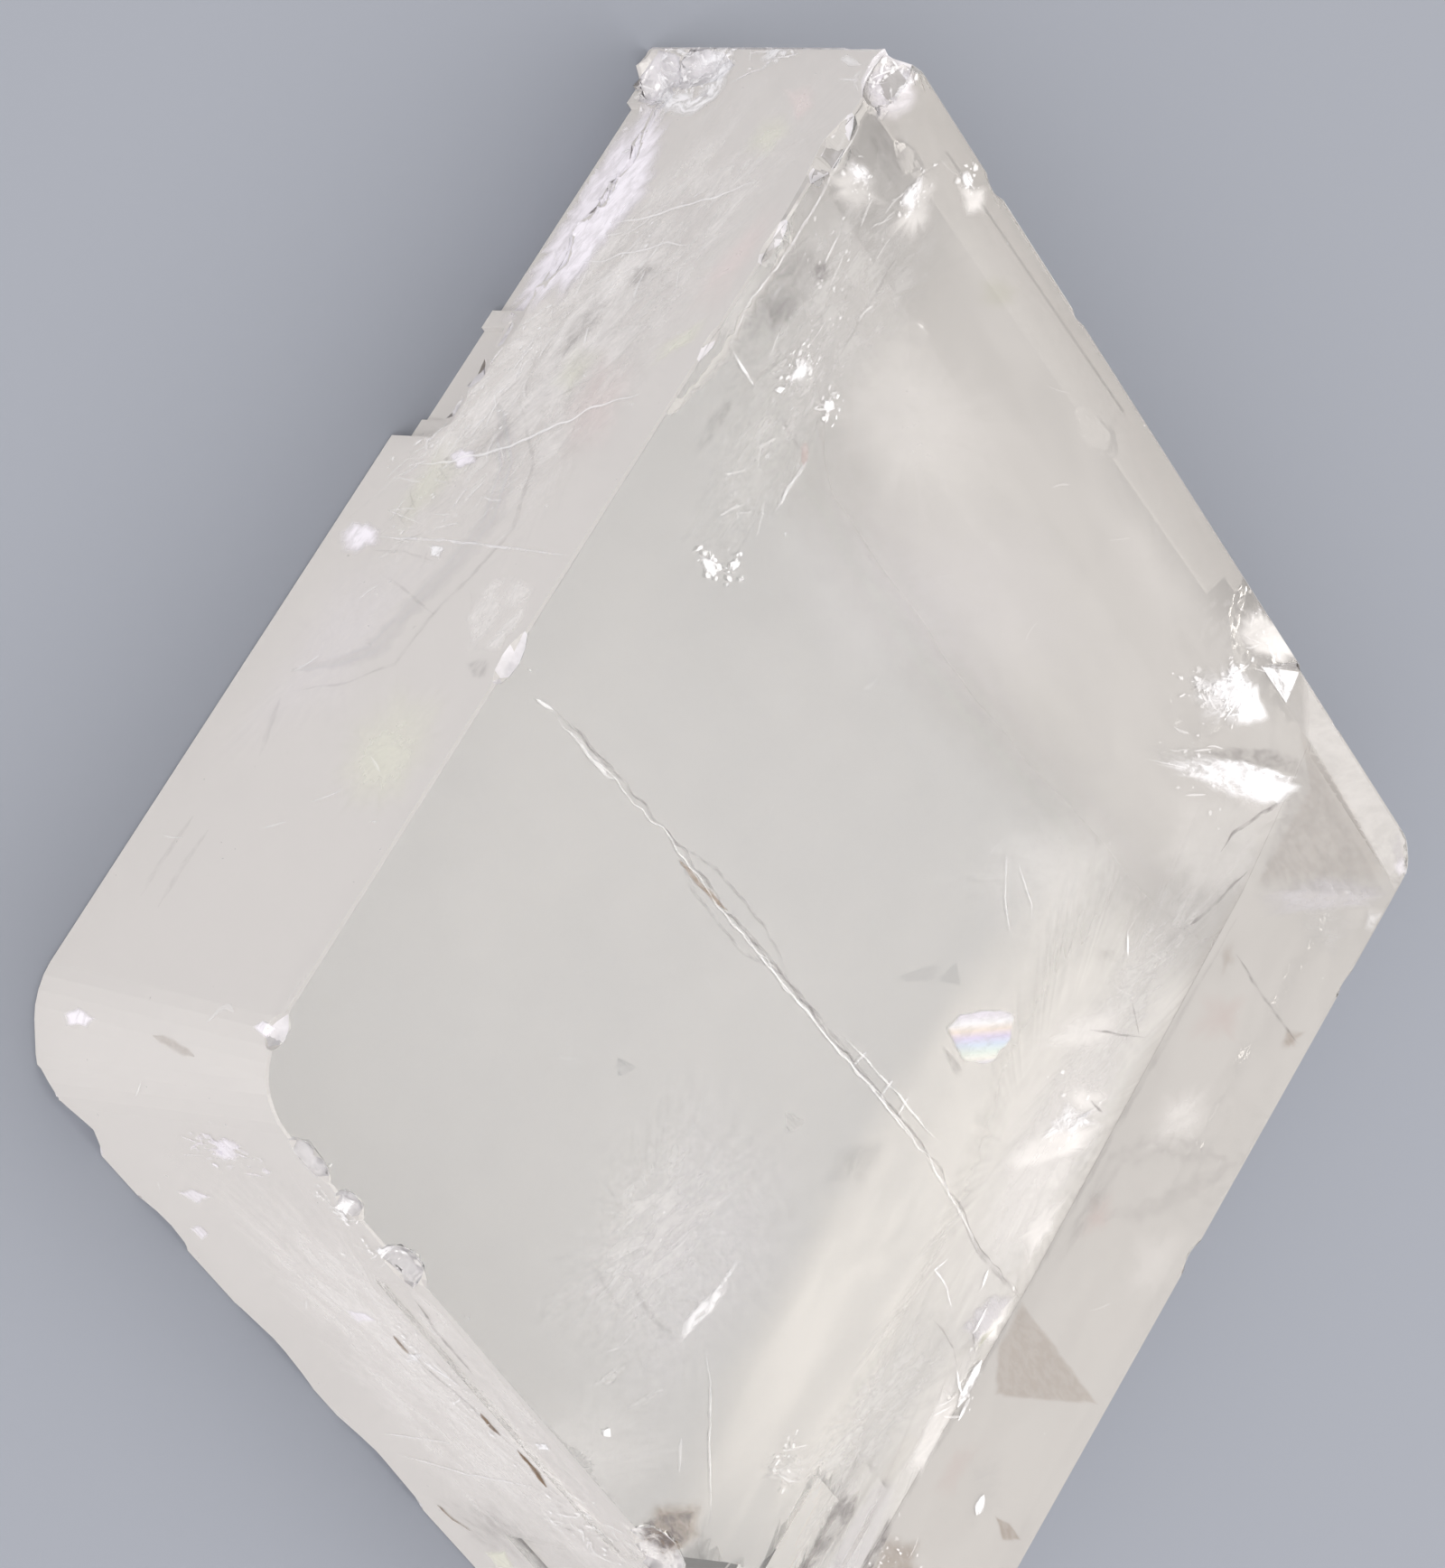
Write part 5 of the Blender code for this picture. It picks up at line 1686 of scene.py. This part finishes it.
@dataclass
class CrystalBody:
    """The crystal itself, with its broken places worked out finely and its films.

    Faces are told apart by their angle and size, in metres. The broken ones are split down to finest_edge and
    creased. The fields from left_rim to bloom_lower_right say how dense the films are on each kind of face.
    """

    lattice: Lattice
    solid: bpy.types.Object
    weld_distance: float = 1e-7
    flat_angle: float = math.radians(0.2)
    smooth_angle: float = math.radians(38)
    flat_tolerance: float = 0.99995
    thin_width: float = 0.00022
    smooth_area: float = 5.0e-6
    finest_edge: float = 0.00032
    split_rounds: int = 6
    crease_depth: float = 0.00013
    crease_size: float = 0.0011
    crease_fall: float = 1.0
    crease_spread: float = 2.1
    crease_layers: int = 4
    crease_base: float = 0.6
    crease_limit: float = 2.5
    calm_crease: float = 0.15
    calm_reach: float = 0.0030
    bottom_reach: float = 0.015
    large_area: float = 1.2e-4
    rim_width: float = 0.0004
    rim_drop: float = 0.001
    top_drop: float = 0.0001
    upper_reach: float = 0.97
    left_reach: float = 0.15
    ledge_area: float = 1.0e-6
    film_gap: float = 0.000015
    faint_frost: float = 0.55
    left_rim: float = 0.72
    right_rim: float = 0.40
    scuffed: float = 0.97
    ledge: float = 0.2
    bloom_under: float = 0.36
    bloom_upper_left: float = 1.0
    bloom_lower_left: float = 1.0
    bloom_upper_right: float = 0.50
    bloom_lower_right: float = 0.22

    @staticmethod
    def is_narrow(face: Face, width: float) -> bool:
        """Tells whether a face is narrower than a width, for its longest edge."""
        return face.calc_area() < width * max(edge.calc_length() for edge in face.edges)

    def sort_faces(self, form: Form) -> None:
        """Marks each face as cleaved, smooth or broken, before the fine work.

        Args:
            form: The crystal, with flat faces in one piece.
        """
        kind = form.faces.layers.int.new(KIND)
        for face in form.faces:
            if max(abs(face.normal.dot(normal)) for normal in self.lattice.cleavages()) > self.flat_tolerance:
                face[kind] = FaceKind.CLEAVED
            elif self.is_narrow(face, self.thin_width) or face.calc_area() > self.smooth_area:
                face[kind] = FaceKind.SMOOTH
            else:
                face[kind] = FaceKind.BROKEN

    def refine_breaks(self, form: Form) -> None:
        """Splits the broken faces finely.

        Args:
            form: The crystal.
        """
        kind = form.faces.layers.int[KIND]
        bmesh.ops.triangulate(form, faces=[face for face in form.faces if face[kind] == FaceKind.BROKEN])
        for _ in range(self.split_rounds):
            long_edges = [
                edge for edge in form.edges
                if edge.calc_length() > self.finest_edge
                and all(face[kind] == FaceKind.BROKEN for face in edge.link_faces)
            ]
            if not long_edges:
                return
            bmesh.ops.subdivide_edges(form, edges=long_edges, cuts=1, use_grid_fill=True)
            wide = [face for face in form.faces if face[kind] == FaceKind.BROKEN and len(face.verts) > 3]
            bmesh.ops.triangulate(form, faces=wide)

    def lies_along(self, place: Vector, corner: Vector, normal: Vector) -> bool:
        """Tells whether a place lies along one of the top's edges.

        Args:
            place: The place.
            corner: A corner at the end of the edge.
            normal: The normal of the side below the edge.

        Returns:
            Whether it lies there.
        """
        away = corner - place
        return away.dot(normal) < self.calm_reach and away.z < self.calm_reach

    def is_worn(self, place: Vector) -> bool:
        """Tells whether a place lies along the top's upper-left edge, which is worn."""
        return self.lies_along(place, self.lattice.at(self.lattice.short, 0.0, 0.0), self.lattice.upper_left)

    def crease_breaks(self, form: Form) -> None:
        """Presses fine creases into the broken faces, shallower ones along the worn edge.

        Args:
            form: The crystal.
        """
        kind = form.faces.layers.int[KIND]
        form.normal_update()
        moves = {}
        for vert in form.verts:
            if not all(face[kind] == FaceKind.BROKEN for face in vert.link_faces):
                continue
            ridges = noise.hetero_terrain(
                vert.co / self.crease_size, self.crease_fall, self.crease_spread, self.crease_layers,
                self.crease_base, noise_basis="VORONOI_F1",
            )
            depth = self.crease_depth * (self.calm_crease if self.is_worn(vert.co) else 1.0)
            moves[vert] = -vert.normal * depth * min(max(ridges, 0.0), self.crease_limit)
        for vert, move in moves.items():
            vert.co += move

    def faces_left(self, normal: Vector) -> bool:
        """Tells whether a face looks to one of the two left-hand sides."""
        return max(normal.dot(self.lattice.upper_left), normal.dot(self.lattice.lower_left)) > self.left_reach

    def frost_of(self, face: Face) -> float:
        """Works out how dense the frost is on a broken face.

        Args:
            face: The face.

        Returns:
            The density, from 0 to 1, which is less along the top's lower-left edge.
        """
        bottom = self.lattice.at(0.0, self.lattice.long, 0.0)
        place = face.calc_center_median()
        is_far = (place - bottom).dot(self.lattice.upper_left) > self.bottom_reach
        return self.faint_frost if is_far and self.lies_along(place, bottom, self.lattice.lower_left) else 1.0

    def bloom_of(self, face: Face) -> float:
        """Works out how dense the bloom is on a face.

        Args:
            face: The face.

        Returns:
            The density, from 0 to 1.
        """
        rise = face.normal.dot(self.lattice.up)
        middle = face.calc_center_median()
        if rise > self.flat_tolerance and middle.z > self.lattice.corner.z - self.top_drop:
            return 0.0
        if rise > self.upper_reach and face.calc_area() > self.ledge_area:
            return self.scuffed if self.is_worn(middle) else self.ledge
        if face.calc_area() < self.large_area:
            is_high = middle.z > self.lattice.corner.z - self.rim_drop
            if not is_high or not self.is_narrow(face, self.rim_width):
                return self.scuffed
            return self.left_rim if self.faces_left(face.normal) else self.right_rim
        sides = (
            (-self.lattice.up, self.bloom_under),
            (self.lattice.upper_left, self.bloom_upper_left),
            (self.lattice.lower_left, self.bloom_lower_left),
            (-self.lattice.lower_left, self.bloom_upper_right),
            (-self.lattice.upper_left, self.bloom_lower_right),
        )
        return max(sides, key=lambda side: face.normal.dot(side[0]))[1]

    def write_layers(self, form: Form) -> None:
        """Writes how broken and how bloomed each face is, and which edges are sharp.

        Args:
            form: The crystal.
        """
        broken = form.faces.layers.float.new(BROKEN)
        bloom = form.faces.layers.float.new(BLOOM)
        kind = form.faces.layers.int[KIND]
        for face in form.faces:
            face.smooth = face[kind] == FaceKind.BROKEN
            face[broken] = self.frost_of(face) if face.smooth else 0.0
            face[bloom] = self.bloom_of(face)
        for edge in form.edges:
            kinds = {face[kind] for face in edge.link_faces}
            edge.smooth = FaceKind.CLEAVED not in kinds and edge.calc_face_angle(0) < self.smooth_angle

    def fine_form(self) -> Form:
        """Makes the crystal's fine shape from the solid.

        Returns:
            The shape.
        """
        form = bmesh.new()
        form.from_mesh(self.solid.data)
        bmesh.ops.remove_doubles(form, verts=form.verts, dist=self.weld_distance)
        bmesh.ops.dissolve_limit(form, angle_limit=self.flat_angle, verts=form.verts, edges=form.edges)
        self.sort_faces(form)
        self.refine_breaks(form)
        self.crease_breaks(form)
        self.write_layers(form)
        return form

    def lift_of(self, vert: Vert) -> Vector:
        """Works out how to move a corner off the crystal so that no face next to it sinks in.

        Args:
            vert: The corner.

        Returns:
            The way to move it.
        """
        move = vert.normal * self.film_gap
        for face in sorted(vert.link_faces, key=lambda face: face.calc_area()):
            short = self.film_gap - move.dot(face.normal)
            if short > 0:
                move += face.normal * short
        return move

    def lay_film(self, form: Form, finish: FilmFinish, covered: set[int]) -> bpy.types.Object:
        """Lays a film on some of the crystal's faces.

        Args:
            form: The crystal's fine shape.
            finish: The film's finish.
            covered: The numbers of the faces that it covers.

        Returns:
            The film.
        """
        skin = form.copy()
        skin.normal_update()
        bare = [face for face in skin.faces if face.index not in covered]
        for vert, move in [(vert, self.lift_of(vert)) for vert in skin.verts]:
            vert.co += move
        bmesh.ops.delete(skin, geom=bare, context="FACES")
        return add_piece(skin, finish.name, finish.make())

    def lay_films(self, form: Form) -> list[bpy.types.Object]:
        """Lays the frost on the broken faces and a bloom on each side's other faces, painted darker on the
        left-hand sides than on the others.

        Args:
            form: The crystal's fine shape.

        Returns:
            The films.
        """
        kind = form.faces.layers.int[KIND]
        bloom = form.faces.layers.float[BLOOM]
        form.faces.index_update()
        broken = {face.index for face in form.faces if face[kind] == FaceKind.BROKEN}
        bloomed = {face.index for face in form.faces if face[bloom] > 0} - broken
        left = {face.index for face in form.faces if self.faces_left(face.normal)}
        covers = ((FROST, broken), (LEFT_BLOOM_PAINTED_DARKER, bloomed & left), (RIGHT_BLOOM_PAINTED_LIGHTER, bloomed - left))
        return [self.lay_film(form, finish, covered) for finish, covered in covers]

    def build(self) -> list[bpy.types.Object]:
        """Builds the crystal, the films on it and its marks.

        Returns:
            The pieces.
        """
        form = self.fine_form()
        films = self.lay_films(form)
        marks = MarkedSurface(Surface(self.lattice, form)).build()
        body = add_piece(form, "crystal_body", ClearCalcite().make())
        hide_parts(NODE)
        return [body, *films, *marks]


@dataclass(frozen=True)
class FloorFinish:
    """A matt, pale studio floor."""

    colour: Colour = (0.255, 0.272, 0.312)
    roughness: float = 0.9
    specular: float = 0.2

    def make(self) -> bpy.types.Material:
        """Builds the material.

        Returns:
            The material.
        """
        nodes = MaterialNodes("studio_floor", self.roughness, self.specular)
        nodes.paint(self.colour)
        return nodes.material


@dataclass(frozen=True)
class Softbox:
    """One flat, soft lamp that faces the crystal.

    bearing is its compass angle from +X towards +Y and height its angle above the floor, in degrees, and
    radiance is how bright its face is.
    """

    name: str
    bearing: float
    height: float
    distance: float
    size: float
    radiance: float
    colour: Colour

    def build(self) -> bpy.types.Object:
        """Hangs the lamp.

        Returns:
            The lamp.
        """
        light = bpy.data.lights.new(self.name, "AREA")
        light.shape = "RECTANGLE"
        light.size = self.size
        light.size_y = self.size
        light.energy = self.radiance * math.pi * self.size * self.size
        light.color = self.colour
        lamp = bpy.data.objects.new(self.name, light)
        away = sight_direction(self.bearing, self.height)
        lamp.location = away * self.distance
        lamp.rotation_euler = away.to_track_quat("Z", "Y").to_euler()
        bpy.context.scene.collection.objects.link(lamp)
        return lamp


@dataclass
class Studio:
    """The floor, the lamps, the soft surrounding light and the camera.

    The camera looks at aim. Its bearing, height and roll are in degrees, and its lens is in millimetres.
    """

    floor_size: float = 3.0
    floor_gap: float = 0.00005
    world_colour: Colour = (1.0, 0.975, 0.95)
    world_radiance: float = 0.85
    aim: tuple[float, float, float] = (-0.00951, 0.00953, 0.0171)
    camera_bearing: float = 164.121
    camera_height: float = 53.993
    camera_roll: float = 102.313
    camera_distance: float = 0.22778
    camera_nearest: float = 0.01
    lens: float = 93.32
    most_bounces: int = 11
    diffuse_bounces: int = 2
    glossy_bounces: int = 5
    transmission_bounces: int = 9
    transparent_bounces: int = 14
    lamps: tuple[Softbox, ...] = (
        Softbox(
            "veil_lamp", bearing=-16, height=54, distance=0.7, size=0.6, radiance=3.0,
            colour=(1.0, 0.97, 0.94),
        ),
        Softbox(
            "fill_lamp", bearing=185, height=38, distance=1.0, size=0.9, radiance=2.9,
            colour=(1.0, 0.98, 0.97),
        ),
    )

    def build_floor(self) -> bpy.types.Object:
        """Lays the floor.

        Returns:
            The floor.
        """
        form = bmesh.new()
        bmesh.ops.create_grid(form, x_segments=1, y_segments=1, size=self.floor_size / 2)
        mesh = bpy.data.meshes.new("floor")
        form.to_mesh(mesh)
        form.free()
        floor = bpy.data.objects.new("floor", mesh)
        floor.location.z = -self.floor_gap
        bpy.context.scene.collection.objects.link(floor)
        floor.data.materials.append(FloorFinish().make())
        return floor

    def build_world(self) -> None:
        """Surrounds the scene with plain soft light."""
        world = bpy.data.worlds.new("soft_studio")
        bpy.context.scene.world = world
        world.use_nodes = True
        background = world.node_tree.nodes["Background"]
        background.inputs["Color"].default_value = (*self.world_colour, 1)
        background.inputs["Strength"].default_value = self.world_radiance

    def build_camera(self) -> bpy.types.Object:
        """Stands the camera where the photograph was taken from.

        Returns:
            The camera.
        """
        camera = bpy.data.objects.new("camera", bpy.data.cameras.new("camera"))
        bpy.context.scene.collection.objects.link(camera)
        roll = math.radians(self.camera_roll)
        back = sight_direction(self.camera_bearing, self.camera_height)
        level = Vector((0, 0, 1)).cross(back).normalized()
        right = level * math.cos(roll) + back.cross(level) * math.sin(roll)
        turn = Matrix((right, back.cross(right), back)).transposed().to_4x4()
        camera.matrix_world = Matrix.Translation(Vector(self.aim) + back * self.camera_distance) @ turn
        camera.data.lens = self.lens
        camera.data.clip_start = self.camera_nearest
        bpy.context.scene.camera = camera
        return camera

    def set_light_paths(self) -> None:
        """Lets light bounce often enough inside clear crystal, and shows it in plain colours."""
        cycles = bpy.context.scene.cycles
        cycles.max_bounces = self.most_bounces
        cycles.diffuse_bounces = self.diffuse_bounces
        cycles.glossy_bounces = self.glossy_bounces
        cycles.transmission_bounces = self.transmission_bounces
        cycles.transparent_max_bounces = self.transparent_bounces
        bpy.context.scene.view_settings.view_transform = "Standard"

    def build(self) -> None:
        """Builds the whole studio."""
        self.build_floor()
        self.build_world()
        for lamp in self.lamps:
            lamp.build()
        self.build_camera()
        self.set_light_paths()


def main() -> None:
    """Builds the studio and the dressed crystal, piece by piece."""
    logging.basicConfig(level=logging.INFO, format="%(message)s")
    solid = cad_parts[NODE]
    lattice = Lattice(solid)
    log.info("edges %.2f %.2f %.2f mm", lattice.short, lattice.long, lattice.depth)
    Studio().build()
    log.info("studio")
    for piece in CrystalBody(lattice, solid).build():
        log.info("%s with %d faces", piece.name, len(piece.data.polygons))


if __name__ == "__main__":
    main()
